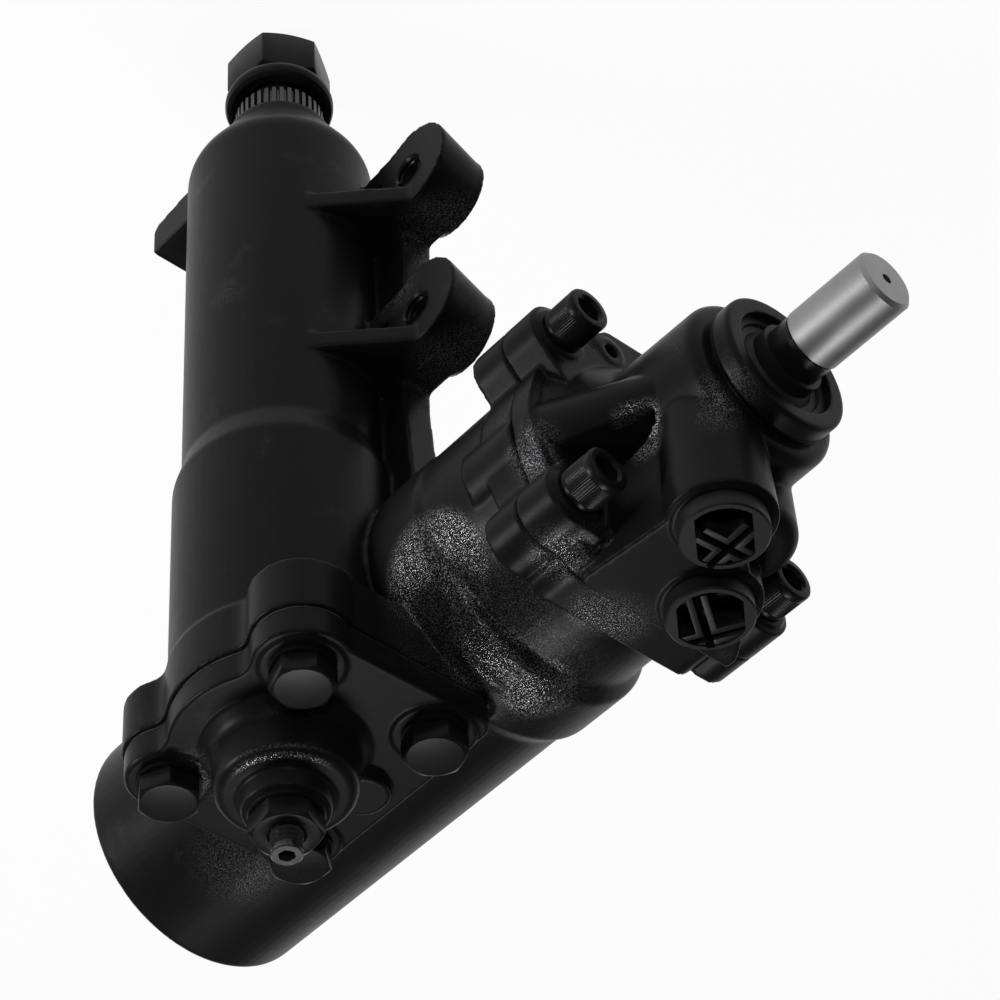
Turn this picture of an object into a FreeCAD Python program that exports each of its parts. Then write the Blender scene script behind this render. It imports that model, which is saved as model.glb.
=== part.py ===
import FreeCAD, Part
import math
import os

V = FreeCAD.Vector

# Frame: Z is the axis of the sector shaft and points from the output end up to the side cover.
# X is the direction of the worm axis and points out along the input shaft.
# The origin lies on the sector axis, level with the worm axis. All sizes are millimetres.
worm_axis_y = -47.0

# Piston cylinder of the gear housing
cylinder_radius = 42.7
cylinder_end_x = -104.0
cylinder_end_round = 1.8
cylinder_wall = 7.7
cylinder_bore_radius = cylinder_radius - cylinder_wall
cylinder_floor_x = -92.0
band_start_x = 38.0
band_end_x = 58.0
band_height = 2.3
neck_radius = 41.6
neck_saddle_radius = 40.4
neck_saddle_y = 3.4
neck_saddle_z = -2.3
neck_taper = 4.5
end_dish_radius = 24.0
end_dish_depth = 2.0

# Sector tube of the gear housing
tube_radius = 31.4
drum_radius = 34.1
drum_start_z = -57.0
drum_blend_length = 10.0
collar_radius = 18.3
collar_end_z = -225.5
collar_length = 8.0
collar_step = 2.2
shoulder_round = 14.0
shoulder_height = 18.0
cover_face_rise = 0.3
cover_face_z = cylinder_radius + cover_face_rise

# Joint between the gear housing and the valve housing
parting_x = 100.0
gear_flange_thickness = 13.0
valve_flange_thickness = 13.0
flange_disc_rise = 2.1
flange_disc_radius = cylinder_radius + flange_disc_rise
flange_hump_z = 47.0
flange_hump_low_y = -77.0
valve_disc_thickness = 8.0
far_hump_z = -48.5
far_hump_start_y = -26.0
far_hump_end_y = -62.0
lug_ledge_z = 44.0
lug_radius = 10.6
lug_root_radius = 13.0
lug_root_share = 0.62
screw_circle_room = 13.1
screw_circle_radius = cylinder_bore_radius + screw_circle_room
screw_angle = math.radians(42.8)
screw_offset_y = screw_circle_radius * math.cos(screw_angle)
screw_offset_z = screw_circle_radius * math.sin(screw_angle)
screw_radius = 4.0
screw_head_radius = 7.1
screw_head_height = 12.2
screw_socket_radius = 4.0
screw_socket_depth = 6.5
screw_thread_depth = 11.0
screw_hole_gap = 0.3
screw_head_gap = 0.3
spot_ring_radius = 8.6
spot_ring_height = 1.3
thread_clearance = 0.06

# Frame ears
ear_x = 52.0
ear_upper_z = -168.0
ear_lower_z = -100.0
ear_radius = 16.2
ear_offset_x = 2.2
ear_offset_z = -0.5
ear_front_y = -12.0
ear_face_y = -33.2
ear_pad_step = 2.0
ear_pad_radius = 14.3
rear_pad_inset = 1.8
ear_hole_radius = 5.5
ear_web_thickness = 7.0
ear_web_drop = 15.2
ear_web_root_y = 13.5
rib_front_y = -20.0
rib_low_x = 35.5
rib_high_x = 40.0
rib_top_z = -180.0
rear_ear_x = -48.0
rear_ear_z = -190.0
rear_ear_radius = 14.5
rear_wing_front_y = 18.0
rear_wing_x = -49.0
rear_wing_top_z = -212.0
rear_wing_low_z = -196.0

# Side cover
cover_bolt_x = 30.8
cover_bolt_y = 23.8
cover_centre_y = -5.5
cover_thickness = 9.0
gasket_thickness = 0.4
cover_right_x = 43.5
cover_left_x = -43.0
cover_edge_y = -41.7
cover_disc_radius = 34.0
cover_lobe_radius = 14.6
cover_left_lobe_radius = 13.0
cover_notch_round = 8.0
housing_rim = 0.8
housing_rim_depth = 18.0
cover_boss_radius = 20.6
cover_boss_z = cover_face_z + 27.0
cover_boss_round = 3.5
cover_boss_flare = 5.0
cover_ring_radius = 12.7
cover_ring_z = cover_boss_z + 6.0
cover_neck_radius = 10.9
cover_neck_z = cover_ring_z + 1.2
cover_lug_radius = 8.5
cover_lug_y = -27.5
cover_lug_height = 4.0
cover_pad_radius = 12.2
cover_pad_height = 0.8

# Cover bolts and washers
bolt_radius = 4.9
bolt_flats = 17.0
bolt_head_height = 6.6
bolt_thread_depth = 9.4
washer_radius = 9.6
washer_thickness = 1.3
cover_bolt_turns = (15.0, 17.5, 34.0, 50.0)

# Sector shaft and its running gear
sector_journal_radius = 16.0
spline_radius = 15.5
spline_root = 14.1
spline_count = 36
spline_end_z = -241.0
spline_start_z = -236.2
spline_neck_radius = 12.6
stud_radius = 11.0
stud_end_z = -269.0
tube_bore_radius = 21.0
tube_bore_end_z = -212.0
chamber_radius = 29.2
chamber_floor_z = -26.0
sector_half_width = 23.0
sector_hub_radius = 16.6
pitch_radius = 25.0
tooth_pitch = 14.0
tooth_backlash = 0.3
pressure_angle = 27.0
addendum = 3.2
dedendum = 3.9
sector_gap_count = 2
upper_journal_radius = 14.5
upper_journal_top_z = cover_face_z + 16.5
running_gap = 0.05
seat_gap = 0.02
spline_run_out_z = collar_end_z + 5.0

# Needle bearings and seals of the sector shaft
roller_radius = 1.6
roller_count = 22
lower_bearing_z = -186.0
upper_bearing_z = -62.0
bearing_length = 30.0
cover_bearing_z = cover_face_z + 3.0
cover_bearing_length = 13.0
seal_height = 7.0
dust_seal_height = 5.0
seal_lip_thickness = 1.4
spacer_height = 2.0

# Adjuster screw, lock nut, output nut and lock washer
adjuster_radius = 4.7
adjuster_tip_chamfer = 0.5
adjuster_tip_z = cover_neck_z + 13.6
adjuster_head_radius = 7.8
adjuster_head_height = 4.0
adjuster_head_z = upper_journal_top_z - 9.0
adjuster_socket_radius = 2.9
adjuster_socket_depth = 5.0
lock_nut_flats = 19.0
lock_nut_height = 6.6
lock_nut_turn = 6.0
output_nut_flats = 32.3
output_nut_height = 20.0
lock_washer_radius = 19.1
lock_washer_height = 6.0
lock_washer_round = 2.0
nut_turn = -4.0

# Rack piston
piston_length = 104.0
piston_floor = 7.0
piston_ring_width = 4.0
piston_ring_depth = 3.0
rack_land = 3.6
ball_radius = 2.8
ball_circle_radius = 12.0
ball_lead = 11.0
ball_turns = 2.5
ball_centre_x = 14.0
piston_travel = 18.4
worm_radius = 11.4
nut_bore_radius = 12.6
track_gap = 0.05

# Worm, bearing, sleeve, input shaft and torsion bar
worm_end_room = 2.5
worm_left_x = ball_centre_x - ball_turns * ball_lead / 2 - piston_travel - worm_end_room
worm_head_x = 82.0
worm_flange_radius = 17.5
worm_flange_width = 6.0
worm_journal_radius = 12.0
worm_cup_end_x = 105.5
bearing_outer_radius = 26.0
bearing_width = 12.0
bearing_ball_radius = 3.4
bearing_ball_count = 11
race_thickness = 4.6
retainer_width = 4.0
pilot_length = 16.4
pilot_gap = 0.08
sleeve_end_x = 143.0
sleeve_radius = 17.0
sleeve_groove_depth = 2.0
sleeve_groove_width = 5.0
sleeve_ring_width = 2.2
sleeve_ring_depth = 1.5
spool_radius = 11.0
spool_slot_count = 6
spool_slot_width = 3.2
spool_slot_depth = 1.3
input_radius = 9.73
input_land_radius = 9.4
input_land_end_x = 174.5
input_relief_radius = 9.0
input_relief_width = 0.8
dust_sleeve_end_x = 167.5
dust_sleeve_wall = 1.5
input_end_x = 203.7
input_chamfer = 1.2
input_centre_hole = 1.6
input_centre_depth = 4.0
torsion_bar_radius = 2.7
torsion_head_radius = 4.4
torsion_end_x = 189.0
torsion_bore_gap = 0.3

# Raised oil passage from the cylinder into the valve housing
passage_radius = 13.5
passage_start_x = 79.0
passage_end_x = 148.0
passage_y = -14.5
passage_z = 3.0
passage_end_y = -33.0
passage_end_radius = 8.0
pocket_depth_y = -31.0

# Valve housing
barrel_radius = 27.5
barrel_end_x = 156.5
barrel_round = 4.0
mouth_radius = 22.7
mouth_groove_radius = 20.6
mouth_start_x = 158.2
mouth_end_x = 165.0
mouth_round = 1.2
mouth_bore_radius = 17.3
mouth_bore_floor_x = 157.0
needle_seat_radius = 13.2
needle_seat_x = 145.0
input_seal_radius = 15.6
input_seal_width = 6.0
port_face_z = 50.0
pressure_port_x = 141.8
pressure_port_y = -37.1
return_port_x = 116.0
return_port_y = -56.6
port_boss_radius = 15.6
port_boss_draft = 1.6
port_thread_radius = 9.0
port_gallery_radius = 4.0
port_ring_radius = 13.8
port_ring_height = 0.6
port_block_left_y = -21.5
shoulder_x = 130.5
shoulder_y = -58.0
shoulder_column_radius = 15.5
shoulder_top_z = 40.0
port_block_right_y = -79.0
plug_radius = 12.7
plug_height = 5.8
plug_rim = 2.6
plug_rib = 1.6
plug_skirt = 7.5
plug_wall = 1.4
bleed_boss_radius = 5.0
bleed_hole_radius = 2.4
bleed_y = -32.6
bleed_z = -39.8
o_ring_section = 1.4
o_ring_wall = 2.2
o_ring_radius = cylinder_bore_radius + o_ring_wall + o_ring_section

cover_top_z = cover_face_z + gasket_thickness + cover_thickness
washer_seat_z = cover_top_z + cover_pad_height
flange_back_x = parting_x - gear_flange_thickness
flange_front_x = parting_x + valve_flange_thickness


def turned_point(angle, radius):
    return radius * math.cos(angle), radius * math.sin(angle)


def rounded_face(corners, place):
    # Corners are (u, v, radius); each gets a tangent arc of its radius.
    count = len(corners)
    starts, mids, ends = [], [], []
    for index, (u, v, radius) in enumerate(corners):
        here = V(u, v, 0)
        before = V(*corners[index - 1][:2], 0) - here
        after = V(*corners[(index + 1) % count][:2], 0) - here
        before.normalize()
        after.normalize()
        half = before.getAngle(after) / 2
        if radius == 0:
            starts.append(here)
            mids.append(here)
            ends.append(here)
            continue
        reach = radius / math.tan(half)
        middle = before + after
        middle.normalize()
        starts.append(here + before * reach)
        ends.append(here + after * reach)
        mids.append(here + middle * (radius / math.sin(half) - radius))
    edges = []
    for index in range(count):
        if corners[index][2] > 0:
            points = [place(p.x, p.y) for p in (starts[index], mids[index], ends[index])]
            edges.append(Part.Arc(*points).toShape())
        begin, finish = ends[index], starts[(index + 1) % count]
        if (finish - begin).Length > 1e-6:
            edges.append(Part.LineSegment(place(begin.x, begin.y), place(finish.x, finish.y)).toShape())
    return Part.Face(Part.Wire(edges))


def turned_about_sector(corners):
    # Corners are (radius, z, round)
    face = rounded_face(corners, lambda u, v: V(u, 0, v))
    return face.revolve(V(0, 0, 0), V(0, 0, 1), 360)


def turned_about_worm(corners):
    # Corners are (x, radius, round)
    face = rounded_face(corners, lambda u, v: V(u, worm_axis_y + v, 0))
    return face.revolve(V(0, worm_axis_y, 0), V(1, 0, 0), 360)


def rod_z(radius, z_from, z_to, x=0.0, y=0.0):
    return Part.makeCylinder(radius, z_to - z_from, V(x, y, z_from), V(0, 0, 1))


def rod_x(radius, x_from, x_to, y=0.0, z=0.0):
    # y and z are measured from the worm axis
    return Part.makeCylinder(radius, x_to - x_from, V(x_from, worm_axis_y + y, z), V(1, 0, 0))


def rod_y(radius, y_from, y_to, x, z):
    return Part.makeCylinder(radius, y_to - y_from, V(x, y_from, z), V(0, 1, 0))


def ring_z(outer, inner, z_from, z_to):
    return rod_z(outer, z_from, z_to).cut(rod_z(inner, z_from, z_to))


def ring_x(outer, inner, x_from, x_to):
    return rod_x(outer, x_from, x_to).cut(rod_x(inner, x_from, x_to))


def plate_z(points, z_from, z_to):
    # Points are (x, y, round)
    return rounded_face(points, lambda u, v: V(u, v, z_from)).extrude(V(0, 0, z_to - z_from))


def plate_y(points, y_from, y_to):
    # Points are (x, z, round)
    return rounded_face(points, lambda u, v: V(u, y_from, v)).extrude(V(0, y_to - y_from, 0))


def plate_x(points, x_from, x_to):
    # Points are (y, z, round), measured from the worm axis
    face = rounded_face(points, lambda u, v: V(x_from, worm_axis_y + u, v))
    return face.extrude(V(x_to - x_from, 0, 0))


def hexagon_z(flats, z_from, z_to, x=0.0, y=0.0, turn=0.0):
    corner = flats / 2 / math.cos(math.pi / 6)
    points = []
    for side in range(6):
        px, py = turned_point(math.radians(turn) + side * math.pi / 3, corner)
        points.append((x + px, y + py, 0))
    body = plate_z(points, z_from, z_to)
    # The corners are chamfered by a cone at each end
    drop = (corner - flats / 2) * math.tan(math.radians(30))
    shell = turned_cone_z(corner, flats / 2, drop, z_from, z_to)
    shell.translate(V(x, y, 0))
    return body.common(shell)


def turned_cone_z(corner, waist, drop, z_from, z_to):
    return turned_about_sector([
        (0, z_from, 0), (waist, z_from, 0), (corner, z_from + drop, 0),
        (corner, z_to - drop, 0), (waist, z_to, 0), (0, z_to, 0)])


def fused(shapes):
    return shapes[0].multiFuse(shapes[1:]).removeSplitter()


def fused_in_turn(shapes):
    # One by one and with the seams kept, which suits the housing's many tangent faces
    body = shapes[0]
    for shape in shapes[1:]:
        body = body.fuse(shape)
    return body


def hull_of_two(radius_a, a, radius_b, b, x_from, x_to):
    # A lug seen along X: two round ends joined by their outer tangents
    ya, za = a
    yb, zb = b
    gap = math.hypot(yb - ya, zb - za)
    heading = math.atan2(zb - za, yb - ya)
    swing = math.acos((radius_a - radius_b) / gap)
    corners = []
    for side, (radius, (y, z)) in ((1, (radius_a, a)), (1, (radius_b, b)), (-1, (radius_b, b)), (-1, (radius_a, a))):
        dy, dz = turned_point(heading + side * swing, radius)
        corners.append((y + dy, z + dz, 0))
    bar = plate_x(corners, x_from, x_to)
    return [bar, rod_x(radius_a, x_from, x_to, ya, za), rod_x(radius_b, x_from, x_to, yb, zb)]


def screw_places():
    return [(sy * screw_offset_y, sz * screw_offset_z) for sy in (1, -1) for sz in (1, -1)]


def cover_bolt_places():
    return [(sx * cover_bolt_x, cover_centre_y + sy * cover_bolt_y) for sx in (1, -1) for sy in (1, -1)]


def flange_lobes(x_from, x_to, disc_to):
    # Round disc with four screw lugs and the flat-topped hump that backs the port block
    pieces = [rod_x(flange_disc_radius, x_from, disc_to)]
    for y, z in screw_places():
        inner = (y * lug_root_share, z * lug_root_share)
        pieces += hull_of_two(lug_radius, (y, z), lug_root_radius, inner, x_from, x_to)
    left = port_block_left_y - worm_axis_y + 6
    right = flange_hump_low_y - worm_axis_y
    hump = [(left, 0, 0), (left, flange_hump_z - 2.5, 6), (port_block_left_y - worm_axis_y, flange_hump_z, 6),
            (right, flange_hump_z, 7), (right - 4, 0, 0)]
    pieces.append(plate_x(hump, x_from, disc_to))
    # A smaller hump on the far side holds a blind hole
    edge = far_hump_z
    far_hump = [(far_hump_start_y, 0, 0), (far_hump_start_y, edge + 5, 4), (far_hump_start_y - 6, edge, 4),
                (far_hump_end_y, edge, 8), (far_hump_end_y, 0, 0)]
    pieces.append(plate_x([(y - worm_axis_y, z, r) for y, z, r in far_hump], x_from, x_to))
    return fused_in_turn(pieces)


def cover_outline(grow, z_from, z_to):
    # Lobed plate: straight sides toward the cylinder, two lobes and a round middle on the far side
    top_y = cover_centre_y + cover_bolt_y
    base = plate_z([
        (cover_left_x - grow, cover_edge_y - grow, 12), (cover_right_x + grow, cover_edge_y - grow, 5),
        (cover_right_x + grow, top_y, 0), (cover_left_x - grow, top_y, 0)], z_from, z_to)
    lobes = [
        rod_z(cover_lobe_radius + grow, z_from, z_to, cover_bolt_x, top_y),
        rod_z(cover_left_lobe_radius + grow, z_from, z_to, -cover_bolt_x, top_y),
        rod_z(cover_disc_radius + grow, z_from, z_to)]
    plate = fused([base] + lobes)
    notches = [e for e in plate.Edges if is_upright(e) and in_notch(e.Vertexes[0])]
    return plate.makeFillet(cover_notch_round, notches)


def is_upright(edge):
    ends = edge.Vertexes
    return len(ends) == 2 and abs(ends[0].Z - ends[1].Z) > 0.3 and math.hypot(
        ends[0].X - ends[1].X, ends[0].Y - ends[1].Y) < 0.01


def in_notch(vertex):
    # The two hollows between the round middle and the bolt lobes
    return vertex.Y > cover_centre_y + cover_bolt_y and abs(vertex.X) < cover_bolt_x


def front_ear(centre_z):
    # Threaded head, front web, back web and the machined pad on the frame side
    away = V(0, -1, 0)
    front = Part.makeCircle(ear_radius, V(ear_x + ear_offset_x, ear_front_y, centre_z + ear_offset_z), away)
    rear = Part.makeCircle(ear_pad_radius, V(ear_x, ear_face_y + ear_pad_step, centre_z), away)
    head = Part.makeLoft([Part.Wire(front), Part.Wire(rear)], True, True)
    pad = rod_y(ear_pad_radius, ear_face_y, ear_face_y + ear_pad_step, ear_x, centre_z)
    web_low = centre_z + ear_web_drop
    web = plate_z([
        (0, ear_web_root_y + 8, 0), (ear_x - 24, ear_web_root_y, 0), (ear_x, ear_front_y, 2), (ear_x, rib_front_y, 0),
        (0, rib_front_y, 0)], web_low - ear_web_thickness, web_low)
    reach = ear_pad_radius
    back = plate_y([
        (20, centre_z - reach + 1, 0), (ear_x, centre_z - reach, 0), (ear_x, centre_z + reach, 0),
        (20, centre_z + reach, 0)], ear_face_y + ear_pad_step, rib_front_y)
    brow = plate_y([
        (20, centre_z - reach + 3, 0), (ear_x, centre_z - reach - 1, 0), (ear_x, centre_z - 4, 0),
        (20, centre_z - 6, 0)], rib_front_y - 1, ear_front_y)
    return [head, pad, web, back, brow]


def rear_ear():
    head = rod_y(rear_ear_radius, ear_face_y + ear_pad_step, ear_front_y, rear_ear_x, rear_ear_z)
    pad = rod_y(rear_ear_radius - rear_pad_inset, ear_face_y, ear_face_y + ear_pad_step, rear_ear_x, rear_ear_z)
    wing = plate_y([
        (-20, rear_wing_top_z - 1, 0), (rear_wing_x, rear_wing_top_z + 2, 5),
        (rear_wing_x + 1, rear_wing_low_z, 1), (-20, rear_wing_low_z, 0)], ear_front_y - 8, rear_wing_front_y)
    back = plate_y([
        (-20, rear_ear_z - rear_ear_radius, 0), (rear_ear_x, rear_ear_z - rear_ear_radius, 0),
        (rear_ear_x, rear_ear_z + rear_ear_radius, 0), (-20, rear_ear_z + rear_ear_radius + 8, 0)],
        ear_face_y + ear_pad_step, ear_front_y)
    return [head, pad, wing, back]


def gear_housing():
    collar_top = collar_end_z + collar_length - 2
    shoulder_z = collar_end_z + collar_length + shoulder_height
    tube = turned_about_sector([
        (0, collar_end_z, 0), (collar_radius, collar_end_z, 1.0), (collar_radius + 0.3, collar_top, 0),
        (collar_radius + collar_step, collar_top + 1, 1),
        (tube_radius, shoulder_z, shoulder_round), (tube_radius, drum_start_z, 8),
        (drum_radius, drum_start_z + drum_blend_length, 8), (drum_radius, cover_face_z, 0), (0, cover_face_z, 0)])
    band_radius = cylinder_radius + band_height
    cylinder = turned_about_worm([
        (cylinder_end_x + end_dish_depth, 0, 0), (cylinder_end_x + end_dish_depth, end_dish_radius, 2),
        (cylinder_end_x, end_dish_radius + 3, 2), (cylinder_end_x, cylinder_radius, cylinder_end_round),
        (band_start_x - neck_taper, cylinder_radius, 3), (band_start_x, band_radius, 3),
        (band_end_x, band_radius, 3), (band_end_x + neck_taper, neck_radius, 3),
        (parting_x, neck_radius, 0), (parting_x, 0, 0)])
    flange = flange_lobes(flange_back_x, parting_x, parting_x)
    passage = rod_x(passage_radius, passage_start_x, parting_x, passage_y - worm_axis_y, passage_z)
    rim = cover_outline(housing_rim, cover_face_z - housing_rim_depth, cover_face_z)
    rib = plate_y([
        (0, rib_top_z, 0), (rib_high_x, rib_top_z, 0), (rib_high_x, ear_upper_z + ear_radius, 0),
        (rib_low_x, drum_start_z - 20, 8), (rib_low_x + 4, -20, 0), (0, -20, 0)],
        ear_face_y + ear_pad_step, rib_front_y)
    saddle = rod_x(neck_saddle_radius, band_start_x + 2, flange_back_x, neck_saddle_y, neck_saddle_z)
    shapes = [tube, cylinder, saddle, flange, passage, rim, rib]
    shapes += front_ear(ear_upper_z) + front_ear(ear_lower_z) + rear_ear()
    body = fused_in_turn(shapes)

    cuts = [
        rod_z(chamber_radius, chamber_floor_z, cover_face_z),
        rod_z(tube_bore_radius, tube_bore_end_z, chamber_floor_z),
        rod_z(sector_journal_radius + 0.6, collar_end_z, tube_bore_end_z),
        rod_x(cylinder_bore_radius, cylinder_floor_x, parting_x)]
    for x, y in cover_bolt_places():
        cuts.append(rod_z(bolt_radius + thread_clearance, cover_face_z - bolt_thread_depth - 1, cover_face_z, x, y))
    for y, z in screw_places():
        cuts.append(rod_x(screw_radius + thread_clearance, parting_x - screw_thread_depth - 1, parting_x, y, z))
    for centre_z in (ear_upper_z, ear_lower_z):
        cuts.append(rod_y(ear_hole_radius, ear_face_y, ear_front_y, ear_x, centre_z))
    cuts.append(rod_y(ear_hole_radius, ear_face_y, ear_front_y, rear_ear_x, rear_ear_z))
    cuts.append(o_ring_groove())
    # The cover seat is milled flat through the raised band of the cylinder
    cuts.append(cover_outline(housing_rim + 0.4, cover_face_z, cover_face_z + 6))
    for tool in cuts:
        body = body.cut(tool)
    return body


def o_ring_groove():
    return ring_x(o_ring_radius + o_ring_section, o_ring_radius - o_ring_section, parting_x - 2 * o_ring_section, parting_x)


def valve_o_ring():
    section = o_ring_section - 0.02
    return Part.makeTorus(o_ring_radius, section, V(parting_x - o_ring_section, worm_axis_y, 0), V(1, 0, 0))


def side_cover():
    bottom = cover_face_z + gasket_thickness
    plate = cover_outline(0, bottom, cover_top_z)
    boss = turned_about_sector([
        (0, bottom, 0), (cover_boss_radius + cover_boss_flare, bottom, 0),
        (cover_boss_radius + cover_boss_flare, cover_top_z - 1, 0),
        (cover_boss_radius + 0.8, cover_top_z + cover_boss_flare - 1, cover_boss_flare),
        (cover_boss_radius, cover_boss_z, cover_boss_round),
        (cover_ring_radius + 1, cover_boss_z, 1), (cover_ring_radius, cover_ring_z, 0.8),
        (cover_neck_radius, cover_ring_z, 0), (cover_neck_radius, cover_neck_z, 0.6), (0, cover_neck_z, 0)])
    lug = rod_z(cover_lug_radius, bottom, cover_top_z + cover_lug_height, 0, cover_lug_y)
    pads = [rod_z(cover_pad_radius, bottom, washer_seat_z, x, y) for x, y in cover_bolt_places()]
    body = fused([plate, boss, lug] + pads)
    pocket = rod_z(upper_journal_radius + 2 * roller_radius + 0.4, bottom, upper_journal_top_z + 1.5)
    thread = rod_z(adjuster_radius + thread_clearance, bottom, cover_neck_z)
    holes = [rod_z(bolt_radius + 0.5, bottom, washer_seat_z, x, y) for x, y in cover_bolt_places()]
    return body.cut(fused([pocket, thread] + holes))


def cover_gasket():
    sheet = cover_outline(-0.4, cover_face_z, cover_face_z + gasket_thickness)
    holes = [rod_z(bolt_radius + 0.5, cover_face_z, cover_face_z + gasket_thickness, x, y)
             for x, y in cover_bolt_places()]
    opening = rod_z(chamber_radius, cover_face_z, cover_face_z + gasket_thickness)
    return sheet.cut(fused([opening] + holes))


def cover_bolts():
    low = cover_face_z - bolt_thread_depth
    seat = washer_seat_z + washer_thickness
    bolts = []
    for (x, y), turn in zip(cover_bolt_places(), cover_bolt_turns):
        head = hexagon_z(bolt_flats, seat, seat + bolt_head_height, x, y, turn)
        bolts.append(head.fuse(rod_z(bolt_radius, low, seat, x, y)).removeSplitter())
    return Part.makeCompound(bolts)


def cover_bolt_washers():
    washers = []
    for x, y in cover_bolt_places():
        disc = rod_z(washer_radius, washer_seat_z, washer_seat_z + washer_thickness, x, y)
        washers.append(disc.cut(rod_z(bolt_radius + 0.3, washer_seat_z, washer_seat_z + washer_thickness, x, y)))
    return Part.makeCompound(washers)


def involute(angle):
    return math.tan(angle) - angle


def half_tooth_angle(radius):
    # Half the angle that a sector tooth spans at this radius
    base = pitch_radius * math.cos(math.radians(pressure_angle))
    at_pitch = (tooth_pitch / 2 - tooth_backlash) / 2 / pitch_radius
    at_pitch += involute(math.radians(pressure_angle))
    if radius <= base:
        return at_pitch
    return at_pitch - involute(math.acos(base / radius))


def sector_teeth():
    # Involute teeth that point down -Y at rest; the fan ends in radial flanks on the hub
    base = pitch_radius * math.cos(math.radians(pressure_angle))
    root = pitch_radius - dedendum
    tip = pitch_radius + addendum
    steps = 5
    points = []
    for tooth in range(-sector_gap_count, sector_gap_count + 1):
        middle = -math.pi / 2 + tooth * tooth_pitch / pitch_radius
        radii = [root, base] + [base + (tip - base) * step / steps for step in range(1, steps + 1)]
        if tooth == -sector_gap_count:
            points.append(turned_point(middle - half_tooth_angle(root), sector_hub_radius - 2))
        points += [turned_point(middle - half_tooth_angle(radius), radius) for radius in radii]
        points += [turned_point(middle + half_tooth_angle(radius), radius) for radius in reversed(radii)]
        if tooth == sector_gap_count:
            points.append(turned_point(middle + half_tooth_angle(root), sector_hub_radius - 2))
    corners = [(x, y, 0) for x, y in points]
    return plate_z(corners, -sector_half_width, sector_half_width)


def spline_teeth():
    blank = rod_z(spline_radius, spline_start_z, spline_run_out_z)
    outside = spline_radius + 1
    cutters = []
    for tooth in range(spline_count):
        angle = 2 * math.pi * tooth / spline_count
        half = math.pi / spline_count
        corners = []
        for share, radius in ((-0.30, spline_root), (-0.62, outside), (0.62, outside), (0.30, spline_root)):
            corners.append((*turned_point(angle + half * share, radius), 0))
        cutters.append(plate_z(corners, spline_start_z, spline_run_out_z))
    return blank.cut(Part.makeCompound(cutters))


def sector_shaft():
    shaft = turned_about_sector([
        (0, stud_end_z, 0), (stud_radius - 1, stud_end_z, 0), (stud_radius, stud_end_z + 1, 0),
        (stud_radius, spline_end_z, 0), (spline_neck_radius, spline_end_z, 0),
        (spline_neck_radius, spline_start_z, 0), (spline_root - 0.6, spline_start_z, 0),
        (spline_root - 0.6, spline_run_out_z, 0), (sector_journal_radius, spline_run_out_z + 2, 0),
        (sector_journal_radius, -sector_half_width - 1, 0), (sector_hub_radius, -sector_half_width, 0),
        (sector_hub_radius, sector_half_width, 0), (upper_journal_radius, sector_half_width + 1, 0),
        (upper_journal_radius, upper_journal_top_z, 0), (0, upper_journal_top_z, 0)])
    body = fused([shaft, sector_teeth(), spline_teeth()])
    # T-slot across the top end takes the adjuster's round head
    slot_half = adjuster_head_radius + 0.15
    neck_half = adjuster_radius + 0.25
    long_half = upper_journal_radius + 1
    low = adjuster_head_z - 0.15
    shelf = adjuster_head_z + adjuster_head_height + 0.15
    wide = Part.makeBox(2 * slot_half, 2 * long_half, shelf - low, V(-slot_half, -long_half, low))
    narrow = Part.makeBox(2 * neck_half, 2 * long_half, upper_journal_top_z - shelf + 1, V(-neck_half, -long_half, shelf))
    return body.cut(wide.fuse(narrow))


def needle_bearing(journal, z_from, length):
    # Drawn shell with a row of needles; the needles run on the journal
    needle_circle = journal + running_gap + roller_radius
    shell_inner = needle_circle + roller_radius + seat_gap
    shell_outer = journal + 2 * roller_radius + 0.4 - seat_gap
    if journal == sector_journal_radius:
        shell_outer = tube_bore_radius - seat_gap
    shell = ring_z(shell_outer, shell_inner, z_from, z_from + length)
    needles = []
    for number in range(roller_count):
        x, y = turned_point(2 * math.pi * number / roller_count, needle_circle)
        needles.append(rod_z(roller_radius, z_from + 2, z_from + length - 2, x, y))
    return Part.makeCompound([shell] + needles)


def sector_seal(z_from, height):
    # Cup seal: outer case, web and a slanted lip that runs on the journal
    outer = tube_bore_radius - seat_gap
    inner = sector_journal_radius + running_gap
    return turned_about_sector([
        (outer, z_from, 0), (outer, z_from + height, 0), (outer - seal_lip_thickness, z_from + height, 0),
        (outer - seal_lip_thickness, z_from + seal_lip_thickness, 0), (inner + 1.6, z_from + seal_lip_thickness, 0),
        (inner + 1.0, z_from + height - 1, 0), (inner, z_from + height - 1.6, 0), (inner + 0.6, z_from, 0)])


def seal_spacer(z_from):
    return ring_z(tube_bore_radius - seat_gap, sector_journal_radius + 0.3, z_from, z_from + spacer_height)


def adjuster_screw():
    head_top = adjuster_head_z + adjuster_head_height
    screw = turned_about_sector([
        (0, adjuster_head_z, 0), (adjuster_head_radius, adjuster_head_z, 0.5), (adjuster_head_radius, head_top, 0.5),
        (adjuster_radius, head_top, 0), (adjuster_radius, adjuster_tip_z - adjuster_tip_chamfer, 0),
        (adjuster_radius - adjuster_tip_chamfer, adjuster_tip_z, 0), (0, adjuster_tip_z, 0)])
    socket = hexagon_z(adjuster_socket_radius * math.sqrt(3), adjuster_tip_z - adjuster_socket_depth, adjuster_tip_z + 2)
    return screw.cut(socket)


def adjuster_lock_nut():
    top = cover_neck_z + lock_nut_height
    nut = hexagon_z(lock_nut_flats, cover_neck_z, top, 0, 0, lock_nut_turn)
    return nut.cut(rod_z(adjuster_radius + thread_clearance, cover_neck_z, top))


def output_nut():
    top = spline_end_z - lock_washer_height
    nut = hexagon_z(output_nut_flats, top - output_nut_height, top, 0, 0, nut_turn)
    return nut.cut(rod_z(stud_radius + thread_clearance, top - output_nut_height, top))


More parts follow.
